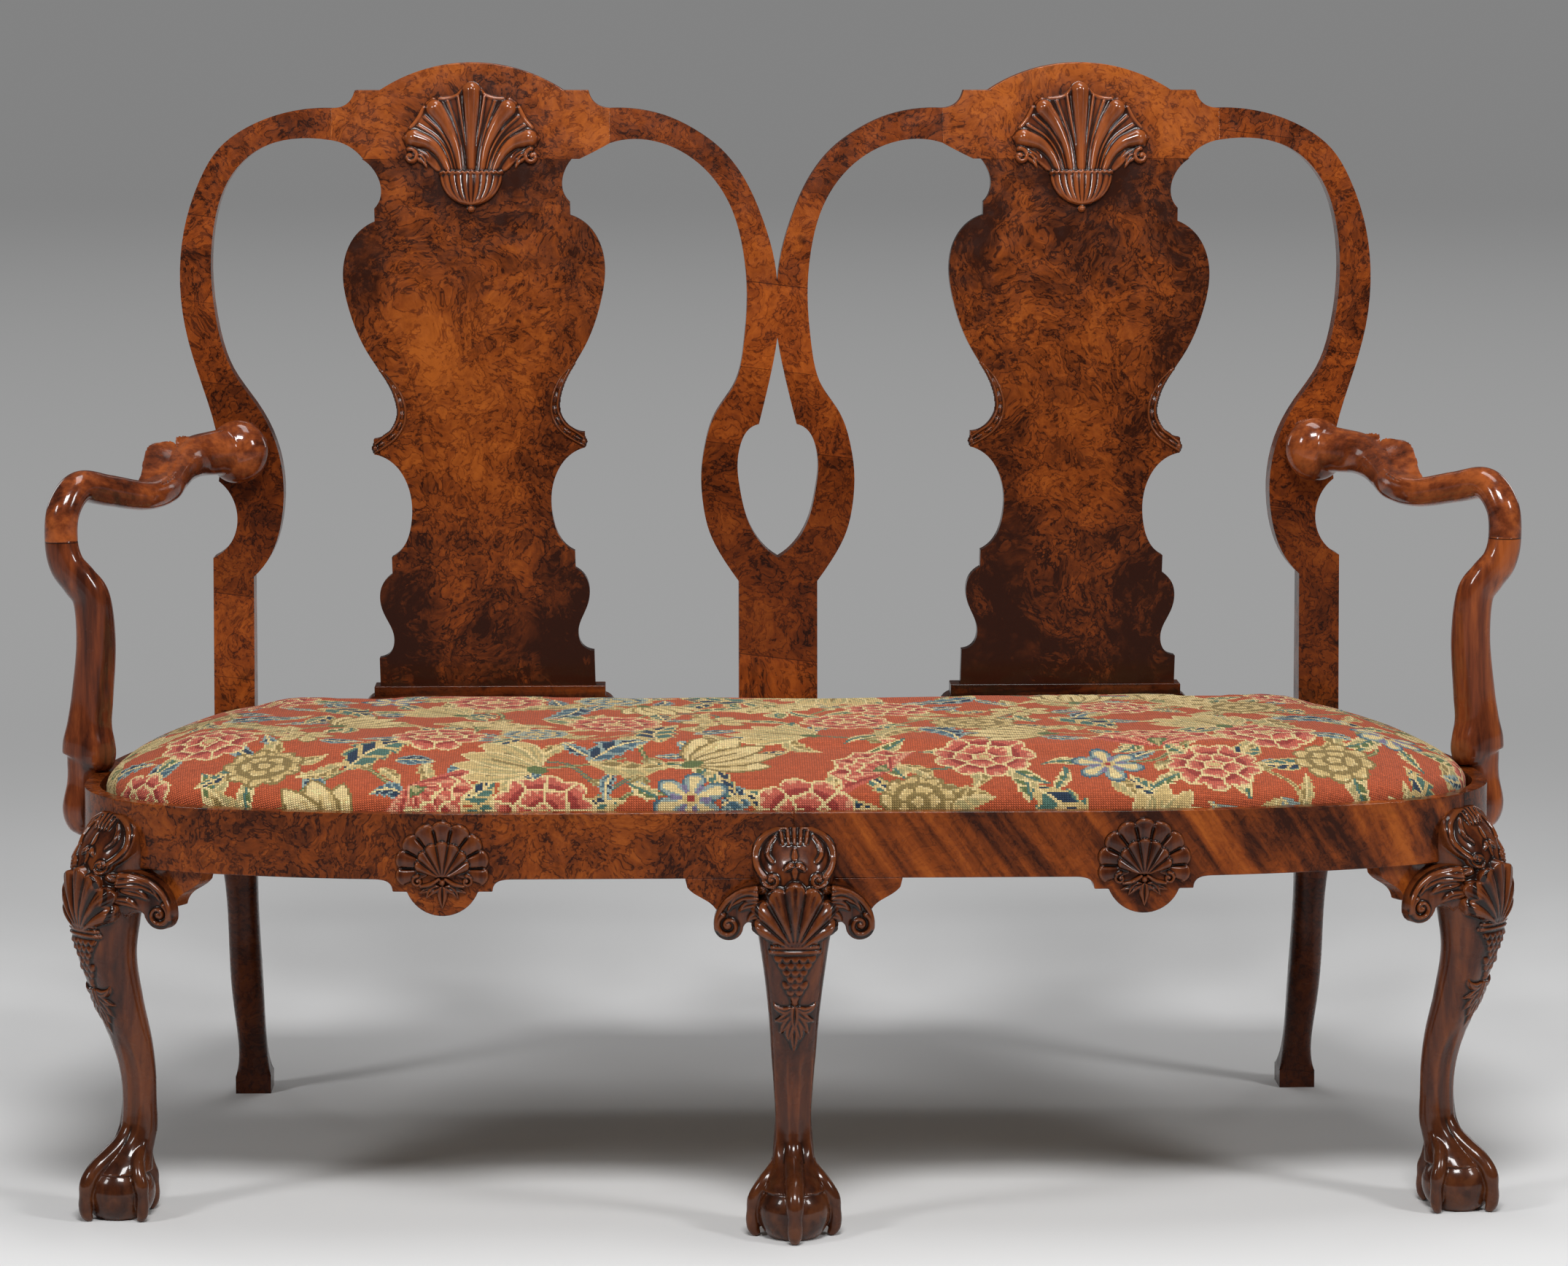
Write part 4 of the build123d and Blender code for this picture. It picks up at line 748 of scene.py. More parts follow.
def knee_relief():
    """Cartouche, shell, scales and leaf pendant on the front of a leg; x across, z height."""
    r = Relief(-44, 44, 40, 384)
    # Cartouche: a ring of two C scrolls with flutes between their upper ends
    arc = [(35.0 * math.sin(a), 350 + 26.5 * math.cos(a)) for a in np.radians(np.arange(12, 132, 9))]
    r.pair(r.rib, arc, (2.5, 3.0, 2.9), (3.2, 3.8, 3.6))
    r.pair(r.rib, [(17, 368), (22, 361), (24, 353), (20, 347)], (1.0, 1.6, 1.6), (1.8, 2.6, 2.6))
    r.pair(r.leaf, [(26, 324), (31, 320), (37, 319)], 3.6, 3.0)
    r.pair(r.leaf, [(1, 345), (6, 343), (10, 339)], 2.4, 2.8)
    for side in (1, -1):
        r.spiral(side * 20.5, 331.5, 7.2, 1.2, -side, 0 if side > 0 else 180, 2.0, 3.6, 2.4)
    for x in (-11.5, -5.8, 0, 5.8, 11.5):
        r.rib([(x * 1.08, 374 - abs(x) * 0.12), (x, 369), (x * 0.9, 362)], (1.5, 1.7, 1.2), (2.2, 2.8, 1.8))
    r.leaf([(0, 343), (0, 338), (0, 331)], 2.6, 3.0)
    r.leaf([(0, 348), (0, 353), (0, 359)], 2.6, 3.0)
    field = 1 - (r.X / 32) ** 2 - ((r.Z - 350) / 24) ** 2
    r.h -= np.where(r.h < 0.3, 1.5 * step(0.0, 0.25, field), 0)
    # Shell: ribs fanning up from a stepped foot
    share, rad, phase = r.fan(268, 66.0, 7)
    bulge = np.abs(np.sin(math.pi * phase))
    reach = 62 - 24 * share ** 1.6
    scallop = reach * (1 - 0.10 * (1 - bulge ** 0.7))
    inside = (share < 1) & (rad < scallop) & (r.Z > 271)
    lines = 0.35 * np.cos(2 * math.pi * phase * 3) * step(0.55, 0.85, rad / reach)
    lift = 1.2 + 3.6 * bulge ** 0.8 * np.sqrt(np.clip(rad / reach, 0, 1))
    lift += lines + 1.8 * step(0.5, 1.0, rad / reach)
    r.put(np.where(inside, lift * np.clip((scallop - rad) / 1.2, 0, 1) ** 0.4, 0))
    for z, half in ((276, 18.5), (271.5, 20), (267, 21.5)):
        r.rib([(-half, z), (half, z)], (2.0, 2.0), (2.4, 2.4))
    # Scales in a triangle
    rows = 7
    pitch = 6.4
    for k in range(rows):
        z = 262 - k * pitch
        half = 15.5 * (1 - k / rows) + 2
        shift = 0.5 * (k % 2)
        for i in range(-4, 5):
            x = (i + shift) * 7.4
            if abs(x) > half:
                continue
            d = np.hypot((r.X - x) / 4.0, (r.Z - z - 1.8) / 5.8)
            r.put(np.where((d < 1) & (r.Z < z + 2.9), 0.9 + 1.8 * (z + 2.9 - r.Z) / 6.6, 0))
    # Leaf pendant
    r.pair(r.leaf, [(2, 214), (9, 211), (16, 214), (19, 219)], 3.6, 2.8)
    r.pair(r.leaf, [(3, 209), (11, 203), (18, 200)], 4.4, 2.6)
    r.pair(r.leaf, [(3, 205), (9, 195), (13, 188)], 4.6, 2.6)
    r.pair(r.leaf, [(2, 199), (5, 188), (5, 181)], 4.4, 2.8)
    r.leaf([(0, 216), (0, 203), (0, 190)], 4.6, 3.4)
    r.leaf([(0, 194), (0, 182), (0, 170)], 4.2, 2.8)
    r.knob(0, 219, 3.0, 3.0, 2.8)
    r.h *= 1.45
    # Hollow facets beside the front ridge of the lower shaft
    fade = step(176, 150, r.Z) * step(62, 84, r.Z)
    for side in (1, -1):
        x = side * (11.5 - 2.0 * step(150, 90, r.Z))
        r.h -= 2.3 * fade * np.clip(1 - ((r.X - x) / 5.5) ** 2, 0, 1)
    r.soften(1)
    return r


KNEE = knee_relief()
KNEE_DEEP = KNEE.hollows(70, 1.5)

# Height, centre along the pointing direction, depth, width, squareness
LEG_KEYS = (
    (43, -4, 56, 57, 2.2), (50, -7.5, 50, 52, 2.2), (58, -12.5, 42, 44, 2.3), (67, -18, 36, 39, 2.4),
    (78, -22.5, 32.5, 36.6, 2.5), (90, -24, 30.6, 34.8, 2.6), (101, -24.2, 29.4, 33, 2.7),
    (135, -22.4, 30, 36, 2.7), (161, -16.8, 33.6, 40, 2.7), (204, -3, 40, 46, 2.7), (252, 9, 49, 57, 2.6),
    (272, 9, 54, 63, 2.5), (290, 8, 60, 69, 2.5), (304, 2, 70, 71, 2.5), (318, -7, 82, 71, 2.6),
    (345, -19, 88, 76, 2.8), (362, -26, 76, 70, 3.0), (371, -29.5, 68, 53, 3.2), (375, -31, 64, 36, 3.2),
)
# Height, centre along the pointing direction, reach from it, radius
TALON_KEYS = (
    (1.0, -1.8, 33.0, 3.4), (6.5, -1.8, 36.2, 5.4), (14, -1.8, 37.2, 6.3), (24, -1.8, 37.0, 5.9),
    (33, -1.8, 35.2, 7.3), (42, -2.4, 31.0, 7.3), (50, -5.5, 25.0, 7.9), (58, -11, 18.0, 8.2),
    (67, -18, 13.0, 8.1), (78, -23.5, 10.4, 7.6), (92, -26, 9.4, 6.9),
)


def leg(name, place, out):
    """Carved cabriole leg with a claw-and-ball foot."""
    out = np.asarray(out, float)
    side = np.array([-out[1], out[0]])
    count = 240
    heights = np.arange(LEG_KEYS[0][0], LEG_KEYS[-1][0] + 0.01, 0.8)
    co = []
    for z in heights:
        f, depth, width, power = (curve(LEG_KEYS, np.array([z]), k)[0] for k in range(1, 5))
        c, s = superellipse(count, power)
        co.append(np.column_stack([f + c * depth / 2, s * width / 2, np.full(count, z)]))
    co = np.array(co)
    # Outward direction of each ring, then the carving along it on the front
    along = np.roll(co, -1, 1) - np.roll(co, 1, 1)
    no = np.stack([along[..., 1], -along[..., 0]], -1)
    no /= np.linalg.norm(no, axis=-1, keepdims=True) + 1e-9
    lift = KNEE.at(co[..., 1], co[..., 2]) * step(0.10, 0.5, no[..., 0])
    co[..., :2] += no * lift[..., None]
    shells = [(co.reshape(-1, 3), tube_faces(len(heights), count))]
    # Talons
    for turn in (0, 90, 180, 270):
        c, s = math.cos(math.radians(turn)), math.sin(math.radians(turn))
        zs = np.concatenate([[1.0, 2.5, 4.5], np.arange(6.5, 92.1, 1.6)])
        f, reach, rad = (curve(TALON_KEYS, zs, k) for k in (1, 2, 3))
        path = np.column_stack([f + c * reach, s * reach, zs])
        ahead = np.gradient(path, axis=0)
        ahead /= np.linalg.norm(ahead, axis=1, keepdims=True)
        cross = np.array([-s, c, 0.0])
        up = np.cross(ahead, cross)
        a = np.linspace(0, 2 * math.pi, 28, endpoint=False)
        wide = np.cos(a)[None, :, None] * cross * (0.92 if turn else 1.12)
        ring = path[:, None] + rad[:, None, None] * (wide + np.sin(a)[None, :, None] * up[:, None])
        ring[..., 2] = np.maximum(ring[..., 2], 0.0)
        shells.append((ring.reshape(-1, 3), tube_faces(len(zs), len(a))))
    # Ball, worn flat underneath
    ball = ball_shell((-1.8, 0.0, 23.0), (33.0, 33.0, 31.0), 60, 96, 0.02)
    ball[:, 2] = np.maximum(ball[:, 2], 0.0)
    shells.append((ball, tube_faces(60, 96)))
    points, faces = join(shells)
    world = np.column_stack([
        place[0] + points[:, 0] * out[0] + points[:, 1] * side[0],
        place[1] + points[:, 0] * out[1] + points[:, 1] * side[1],
        points[:, 2],
    ])
    o = make_object(name, world, faces, LEG_WOOD)
    voxel(o, 0.9)
    settle(o, 1, 0.35)
    low = points_of(o.data)
    low[:, 2] = np.maximum(low[:, 2], 0.0)
    put_points(o.data, low)
    flat = low[:, :2] - np.asarray(place)
    front = step(0.15, 0.5, normals_of(o.data)[:, :2] @ out)
    mark_hollows(o, 18, 0.55, 0.5 + front * (KNEE.at(flat @ side, low[:, 2], KNEE_DEEP, 0.5) - 0.5))
    return o


LEG_TURN = math.radians(40)
CORNER_OUT = (-math.cos(LEG_TURN), -math.sin(LEG_TURN))
LEGS = {
    "left_leg": ((-620.44, -210.37), CORNER_OUT),
    "middle_leg": ((0.0, -304.0), (0.0, -1.0)),
    "right_leg": ((620.44, -210.37), (-CORNER_OUT[0], CORNER_OUT[1])),
}
for cad, (place, out) in LEGS.items():
    finish_piece(leg(cad + "_carved", place, out), "frame", "carved_walnut", cad)


# Knee ears with a volute and an acanthus leaf

def ear_relief():
    """Carving of one ear: u away from the leg along the rail, v up from the rail's lower edge."""
    r = Relief(24, 78, -58, 4, 0.35)
    r.spiral(59.3, -40.5, 10.6, 1.35, -1, 62, 2.7, 4.6, 3.4)
    r.rib([(29, -3), (46, -8), (61, -19), (69.5, -33), (69.8, -43)], (2.2, 2.6, 2.6), (3.0, 4.2, 4.2))
    r.leaf([(29, -13), (40, -11), (50, -15), (57, -22), (60, -28)], 5.6, 4.4, 1.2, 3)
    r.leaf([(33, -17), (43, -20), (50, -27)], 4.0, 3.4, 1.0)
    r.leaf([(30, -8), (37, -6), (43, -8)], 2.8, 3.0)
    r.leaf([(30, -26), (37, -29), (43, -35)], 3.6, 3.0)
    r.soften(1)
    return r


EAR = ear_relief()
EAR_DEEP = EAR.hollows(70, 1.6)


def ear(name, cad, place, out, sweep, side):
    """One carved ear, shaped from its node and swelling toward the leg."""
    c, s = math.cos(math.radians(sweep)), math.sin(math.radians(sweep))
    facing = np.array([out[0] * c - out[1] * s, out[0] * s + out[1] * c])
    along = np.array([-facing[1], facing[0]]) * side
    o = add_object(name, NODES[cad].data.copy(), LEG_WOOD)
    mend(o.data, lambda bm: bmesh.ops.remove_doubles(bm, verts=bm.verts, dist=0.00002))
    voxel(o, 0.85)
    me = o.data
    co = points_of(me)
    flat = co[:, :2] - np.asarray(place)
    u, w, v = flat @ along, flat @ facing, co[:, 2] - RAIL_FOOT
    share = np.clip(w / 16.0, 0, 1)
    swell = 17.0 * np.clip((52 - u) / 22, 0, 1) ** 1.2 * step(-54, -30, v) - 5.0 * step(40, 66, u)
    swell -= 4.0 * step(-10, 0, v)
    lift = share ** 1.5 * (EAR.at(u, v) * step(0.6, 0.95, share) + swell)
    co[:, :2] += facing * lift[:, None] - along * (9.0 * np.clip((36 - u) / 8, 0, 1))[:, None]
    put_points(me, co)
    settle(o, 1, 0.4)
    mark_hollows(o, 12, 0.7, 0.5 + step(0.6, 0.95, share) * (EAR.at(u, v, EAR_DEEP, 0.5) - 0.5))
    return o


EARS = (
    ("middle_left_ear", "middle_leg", 0, -1), ("middle_right_ear", "middle_leg", 0, 1),
    ("left_front_ear", "left_leg", 20, 1), ("left_side_ear", "left_leg", -20, -1),
    ("right_front_ear", "right_leg", -20, -1), ("right_side_ear", "right_leg", 20, 1),
)
for cad, which, sweep, side in EARS:
    place, out = LEGS[which]
    finish_piece(ear(cad + "_carved", cad, place, out, sweep, side), "frame", "carved_walnut", cad)


# Carved shells laid on the crests and the front rails

def laid_relief(name, r, centre, trees, material, pitch, fallback, sink=1.2, mirror=1, dirt_and_shade_depth=1.7):
    """Relief as a closed slab that follows the face behind it; centre is x and z of its origin."""
    rows = np.arange(r.Z.min(), r.Z.max() + 1e-6, pitch)
    cols = np.arange(r.X.min(), r.X.max() + 1e-6, pitch)
    X, Z = np.meshgrid(cols, rows)
    h = r.at(X.ravel(), Z.ravel()).reshape(X.shape)
    wx, wz = centre[0] + mirror * X, centre[1] + Z
    # Sample the face behind on a coarse net and fill in between
    count = 24
    cx, cz = (np.linspace(w.min(), w.max(), count) for w in (wx, wz))
    net = np.full((count, count), np.nan)
    for i, z in enumerate(cz):
        for j, x in enumerate(cx):
            hit = trees.ray_cast(Vector((x * MM, -1.0, z * MM)), Vector((0, 1, 0)))
            if hit[0] is not None:
                net[i, j] = hit[0].y / MM
    keep = np.isfinite(net) & (np.abs(net - fallback) < 40)
    dx, dz = cx[None, :] - centre[0], cz[:, None] - centre[1]
    terms = np.broadcast_arrays(np.ones_like(net), dx, dz, dx ** 2, dz ** 2)
    fit, *_ = np.linalg.lstsq(np.column_stack([f[keep] for f in terms]), net[keep], rcond=None)
    dx, dz = wx - centre[0], wz - centre[1]
    y = fit[0] + fit[1] * dx + fit[2] * dz + fit[3] * dx ** 2 + fit[4] * dz ** 2
    nx, nz = fit[1] + 2 * fit[3] * dx, fit[2] + 2 * fit[4] * dz
    size = np.sqrt(1 + nx ** 2 + nz ** 2)
    top, low = (np.stack([wx + nx / size * up, y - up / size, wz + nz / size * up], -1)
                for up in (np.where(h > 0.05, h, -sink), -3.0))
    m, n = X.shape
    # Only cells near the carving are kept, each with a back, closed round the rim
    live = h > 0.05
    for _ in range(2):
        p = np.pad(live, 1)
        live = p[1:-1, 1:-1] | p[:-2, 1:-1] | p[2:, 1:-1] | p[1:-1, :-2] | p[1:-1, 2:]
    cell = live[:-1, :-1] & live[1:, :-1] & live[:-1, 1:] & live[1:, 1:]
    idx = np.arange(m * n).reshape(m, n)
    q = np.stack([idx[:-1, :-1], idx[:-1, 1:], idx[1:, 1:], idx[1:, :-1]], -1)[cell]
    if mirror < 0:
        q = q[:, ::-1]
    back = q[:, ::-1] + m * n
    edge = {}
    for f in q.tolist():
        for a, b in zip(f, f[1:] + f[:1]):
            edge[(a, b)] = True
    rim = [(b, a, a + m * n, b + m * n) for a, b in edge if (b, a) not in edge]
    faces = np.vstack([q, back, np.array(rim)])
    co = np.vstack([top.reshape(-1, 3), low.reshape(-1, 3)])
    used, faces = np.unique(faces, return_inverse=True)
    o = make_object(name, co[used], faces.reshape(-1, 4), material)
    # Hollow depth of the carving, which the material darkens as grime and painted shade
    deep = r.at(X.ravel(), Z.ravel(), r.hollows(70, dirt_and_shade_depth), 0.5)
    mark_hollows(o, 10, 0.9, np.concatenate([deep, np.full(m * n, 0.5)])[used])
    return o


def crest_shell_relief():
    """Five-lobed shell over a gadrooned cup; origin at the middle of the cup's rim."""
    r = Relief(-80, 80, -46, 100, 0.4)
    half = [(0, 88), (9, 85), (14, 79), (22, 76), (31, 75), (39, 77), (46, 72), (50, 63), (55, 53.5),
            (60, 47), (66, 42), (70, 36), (66, 27), (56, 20), (44, 10), (36, 3), (31, 0)]
    r.fill(half + [(-x, z) for x, z in half[::-1][:-1]], 3.8, 2.0)
    middle = np.array([(0, -4), (0, 24), (0, 50), (0, 81.5)], float)
    for side in (1, -1):
        slant = np.array([(side * 9.5, -6), (side * 15, 25), (side * 25, 48), (side * 36.5, 64.5)], float)
        low = np.array([(side * 20, -6), (side * 29, 16), (side * 41, 29), (side * 57.5, 35)], float)
        r.rib(slant, (3.6, 5.6, 9.8), (7.0, 10.0, 13.0))
        r.rib(low, (3.6, 5.6, 9.6), (7.0, 10.0, 12.5))
        for share in (0.36, 0.64):
            for a, b, end in ((middle, slant, 1.07), (slant, low, 1.2)):
                line = a + (b - a) * share
                line[-1] = line[-2] + (line[-1] - line[-2]) * end
                r.rib(line, (1.3, 1.6, 2.0), (5.6, 6.2, 6.0))
        r.spiral(side * 61, 17.0, 7.4, 1.1, side, 100, 3.2, 7.5, 2.6)
    for rim in ([(9, 84), (14, 78.5), (22, 75.5), (32, 74.5)], [(48, 66), (54, 54.5), (61, 46)]):
        r.pair(r.rib, rim, (2.4, 2.6, 2.4), (5.2, 4.8, 5.2))
    r.pair(r.leaf, [(60, 20), (50, 15), (44, 5)], 5.0, 6.0, 1.2, 2)
    r.pair(r.leaf, [(54, 25), (45, 20), (39, 11)], 4.0, 5.4, 1.0)
    r.rib([(0, -6), (0, 40), (0, 82.5)], (4.6, 6.6, 10.0), (8.0, 10.5, 13.5))
    # Cup
    x, z = r.X, r.Z
    wide = 31.5 * np.sqrt(np.clip(1 - (np.minimum(z, 0) / 32.0) ** 2, 0, 1))
    across = x / np.maximum(wide, 0.4)
    inside = (np.abs(across) < 1) & (z <= 0.5) & (z > -32)
    gad = np.abs(np.cos(math.pi * across * 5.0)) ** 0.6
    cup = 10.0 * np.sqrt(np.clip(1 - across ** 2, 0, 1)) ** 0.6
    cup *= 0.55 + 0.45 * np.sqrt(np.clip(1 - (z / 33) ** 2, 0, 1))
    r.put(np.where(inside, cup + 1.9 * gad - 1.2, 0))
    wave = [(x0, 0.8 * math.sin(x0 * 1.3)) for x0 in np.linspace(-31, 31, 45)]
    r.rib(wave, (1.5, 1.5), (11.6, 11.6))
    r.knob(0, -35, 4.0, 4.0, 6.0)
    r.soften(2)
    return r


def rail_shell_relief():
    """Small shell inside a scalloped one, with a leaf below; origin at the middle of the outer shell."""
    r = Relief(-50, 50, -48, 46, 0.35)
    share, rad, phase = r.fan(-4, 112.0, 9)
    bulge = np.abs(np.sin(math.pi * phase))
    reach = 45 - 4.2 * (1 - bulge ** 0.6) - 3.5 * share ** 2
    inside = (share < 1) & (rad < reach) & (rad > 14)
    slot = step(0.16, 0.05, np.abs(phase - np.round(phase))) * step(22, 26, rad) * step(39, 34, rad)
    lift = 2.4 + 3.0 * bulge ** 0.7 * step(18, 38, rad) - 2.2 * slot
    r.put(np.where(inside, lift * np.clip((reach - rad) / 1.4, 0, 1) ** 0.5, 0))
    r.h -= 0.36 * bulge * step(30, 41, rad) * inside * step(44, 40, rad)
    # Inner shell
    share, rad, phase = r.fan(-12, 72.0, 7)
    bulge = np.abs(np.sin(math.pi * phase))
    reach = (35 - 9 * share ** 1.6) * (1 - 0.08 * (1 - bulge ** 0.6))
    inside = (share < 1) & (rad < reach) & (r.Z > -10)
    lift = 3.6 + 3.8 * bulge ** 0.8 * np.sqrt(rad / 35)
    r.put(np.where(inside, lift * np.clip((reach - rad) / 1.2, 0, 1) ** 0.4, 0))
    for side in (1, -1):
        r.spiral(side * 22, -14, 5.0, 1.2, -side, 90, 2.0, 6.0, 1.8)
    r.pair(r.rib, [(3, -12), (10, -16.5), (19, -18.5)], (1.8, 2.2, 1.8), (5.5, 6.0, 5.5))
    r.pair(r.leaf, [(2, -19), (9, -22), (15, -30)], 4.6, 4.4, 0.8)
    r.pair(r.leaf, [(4, -20), (14, -22), (22, -25)], 3.6, 3.6, 0.6)
    r.leaf([(0, -18), (0, -29), (0, -40)], 5.2, 5.0, 0.8)
    r.knob(0, -15, 3.2, 3.2, 6.4)
    r.soften(1)
    return r


def splat_edging_relief():
    """Beaded leaf edging at the waist of the left splat; origin at the foot of its axis."""
    r = Relief(-126, 108, 228, 326, 0.4)
    tilt = math.radians(1.8)
    outer = [(104.5, 246), (96.5, 252), (87.5, 258.5), (81, 269), (79.4, 279), (81.5, 291), (86, 302.5),
             (92, 313), (97, 320)]
    inner = [(104.5, 238), (95, 243.5), (85, 250.5), (77.5, 260), (73.8, 270), (73.4, 281), (77, 294),
             (84, 307), (94.5, 318.5)]
    for side in (1, -1):
        lines = []
        for pts in (outer, inner):
            x, z = np.array(pts).T * np.array([[side], [1]])
            c, t = math.cos(tilt), math.sin(tilt)
            lines.append(np.column_stack([x * c - z * t, x * t + z * c]))
        for pts in lines:
            r.rib(pts, (1.3, 1.4, 1.3, 0.7), (2.2, 2.4, 2.0, 1.0))
        mid = smooth_line((lines[0] + lines[1]) / 2, 60)
        for i in range(3, 48, 8):
            r.rib(mid[i:i + 6], (1.2, 1.9, 0.8), (1.2, 1.9, 0.9))
        r.knob(*(0.5 * (lines[0][0] + lines[1][0])), 2.6, 3.4, 2.6)
    r.soften(1)
    return r


EDGING_RELIEF = splat_edging_relief()
CREST_RELIEF = crest_shell_relief()
RAIL_RELIEF = rail_shell_relief()
for hand, sign in (("left", -1), ("right", 1)):
    board_behind, splat = tree_of(hand + "_crest", hand + "_splat"), tree_of(hand + "_splat")
    o = laid_relief(hand + "_crest_shell_carved", CREST_RELIEF, (sign * 308.0, 942.0), board_behind,
                    SHELL_WOOD, 0.7, 310, dirt_and_shade_depth=1.1)
    finish_piece(o, "frame", "carved_walnut", hand + "_crest_shell")
    o = laid_relief(hand + "_splat_edging", EDGING_RELIEF, (sign * 292.0, 430.0), splat,
                    EDGE_WOOD, 0.6, 255, 0.6, -sign)
    finish_piece(o, "frame", "carved_walnut")
    o = laid_relief(hand + "_rail_shell_carved", RAIL_RELIEF, (sign * 316.0, 341.0),
                    tree_of(hand + "_front_rail"), LEG_WOOD, 0.6, -304)
    finish_piece(o, "frame", "carved_walnut", hand + "_rail_shell")


# Arms and their crooked supports

ARM_KEYS = (
    # x, y, height over the rail top, width across, depth, squareness
    (-538, 250, 280, 42, 46, 2.0), (-547, 230, 280, 45, 48, 2.0), (-563, 214, 279.5, 41, 44, 2.1),
    (-579, 195, 278, 36, 41, 2.3), (-590, 166, 272.5, 33, 37, 2.5), (-596, 126, 264, 32, 33, 2.6),
    (-601, 90, 256, 33, 30, 2.5), (-616, 48, 253.5, 32, 28.5, 2.2), (-645, 10, 262, 31, 30, 2.0),
    (-669, -22, 268, 31.5, 31, 2.0), (-682, -40, 248, 32, 31, 2.0), (-684, -44, 219, 32, 31, 2.0),
    (-679, -45, 197, 35, 31, 2.0), (-667, -45, 181, 37, 32, 2.0), (-656, -44, 163, 35, 33, 2.3),
    (-653, -42, 121, 34, 35, 2.6), (-657, -41, 72, 36.5, 36, 2.7), (-660, -41, 46, 39, 38, 2.7),
    (-661, -41, 27, 49, 42, 2.6), (-661, -41, 13, 49, 42, 2.6), (-664, -41, 3, 34, 35, 2.3),
    (-666, -41, -12, 31, 33, 2.1), (-668, -41, -36, 37, 38, 2.0), (-668, -41, -52, 28, 29, 2.0),
    (-667, -41, -61, 8, 9, 2.0),
)
SCARF = 11
# Elbow pad: its inner ridge, its scalloped outer edge and the arm's middle below it
PAD_KEYS = (
    (-572, 199, 287, -578, 206, 293, -573, 203, 278), (-579, 188, 290, -588, 189, 300, -583, 190, 276),
    (-582, 174, 288.5, -597, 176, 299.5, -588, 174, 273),
    (-582.8, 169, 287.5, -595, 170, 291, -589, 170, 272.5),
    (-583.5, 164, 286.5, -600, 165, 296.5, -590, 165, 272),
    (-585.5, 150, 283.5, -611, 150, 297, -593, 150, 269),
    (-587, 124, 277, -619, 126, 295, -596, 126, 264), (-588, 100, 272, -621.5, 102, 285, -600, 100, 258),
    (-589.5, 80, 269, -621.5, 82, 275, -603, 82, 255), (-596, 58, 266, -622, 62, 268, -611, 58, 252),
    (-608, 42, 265, -626, 46, 263, -620, 44, 252),
)


def arm_pieces(hand, sign):
    """An arm with its elbow pad, and its support."""
    keys = np.asarray(ARM_KEYS, float)
    count, per = 40, 26

    def rings(first, last):
        """Sections of the sweep from one key to another."""
        s = np.linspace(first, last, int((last - first) * per) + 1)
        c = sweep_keys(keys, s, range(6))
        whole = np.linspace(0, len(keys) - 1, (len(keys) - 1) * per + 1)
        path = sweep_keys(keys, whole, range(3))
        ahead = np.gradient(path, axis=0)
        ahead /= np.linalg.norm(ahead, axis=1, keepdims=True)
        across = np.zeros_like(path)
        v = np.array([1.0, 1.0, 0.0])
        for i, a in enumerate(ahead):
            v = v - a * v.dot(a)
            v /= np.linalg.norm(v)
            across[i] = v
        pick = np.rint(s * per).astype(int)
        ahead, across = ahead[pick], across[pick]
        up = np.cross(ahead, across)
        # The support's upper end is tucked into the end of the arm
        c[:, 3:5] *= np.where((s < SCARF) & (first > 0), 0.93, 1.0)[:, None]
        out = []
        for i in range(len(s)):
            a, b = superellipse(count, c[i, 5])
            out.append(c[i, :3] + a[:, None] * c[i, 3] / 2 * across[i] + b[:, None] * c[i, 4] / 2 * up[i])
        return np.array(out)

    def pad():
        """Scalloped pad over the elbow."""
        p = np.asarray(PAD_KEYS, float)
        s = np.linspace(0, len(p) - 1, (len(p) - 1) * 10 + 1)
        c = sweep_keys(p, s, range(9))
        ridge, edge, low = c[:, :3], c[:, 3:6], c[:, 6:]
        dish = np.array([0, 0, 2.6])
        top = [ridge + (edge - ridge) * f - dish * math.sin(math.pi * f) for f in np.linspace(0, 1, 9)]
        under = edge * 0.9 + low * 0.1 - np.array([0, 0, 6.5])
        ring = np.stack(top + [under, low], 1)
        return ring.reshape(-1, 3), tube_faces(len(s), ring.shape[1])

    def build(name, ring, wood, *extra):
        co, faces = join([(ring.reshape(-1, 3), tube_faces(len(ring), count)), *extra])
        co[:, 2] += RAIL_TOP
        if sign > 0:
            co[:, 0] *= -1
            faces = [q[::-1] for q in faces]
        o = make_object(name, co, faces, wood)
        mend(o.data, face_out)
        voxel(o, 1.1)
        settle(o, 3, 0.4)
        return o

    # Ball end against the stile
    ball = ball_shell((-540, 231, 279), (30, 24, 31.8), 40, 64, 0.03)
    ball[:, 1] = np.minimum(ball[:, 1], 250)
    arm = build(hand + "_arm_shaped", rings(0, SCARF + 0.06), ARM_WOOD, (ball, tube_faces(40, 64)), pad())
    support = build(hand + "_arm_support_shaped", rings(SCARF - 0.15, len(keys) - 1), POST_WOOD)
    return arm, support


for hand, sign in (("left", -1), ("right", 1)):
    arm, support = arm_pieces(hand, sign)
    finish_piece(arm, "frame", "carved_walnut", hand + "_arm")
    finish_piece(support, "frame", "carved_walnut", hand + "_arm_support")


# Drop-in seat: needlework cover on a crowned pad

FRONT_Y, FRONT_FLAT, BOW_RADIUS, BOW_TURN, CORNER_RADIUS = -304.0, 300.0, 704.0, 21.6, 154.0
SIDE_RADIUS, SEAT_REAR = 756.4, 225.0
SEAT_INSET, CROWN_RUN, CROWN_RISE, WALL_TOP, WALL = 20.0, 128.0, 42.0, RAIL_TOP, 16.0


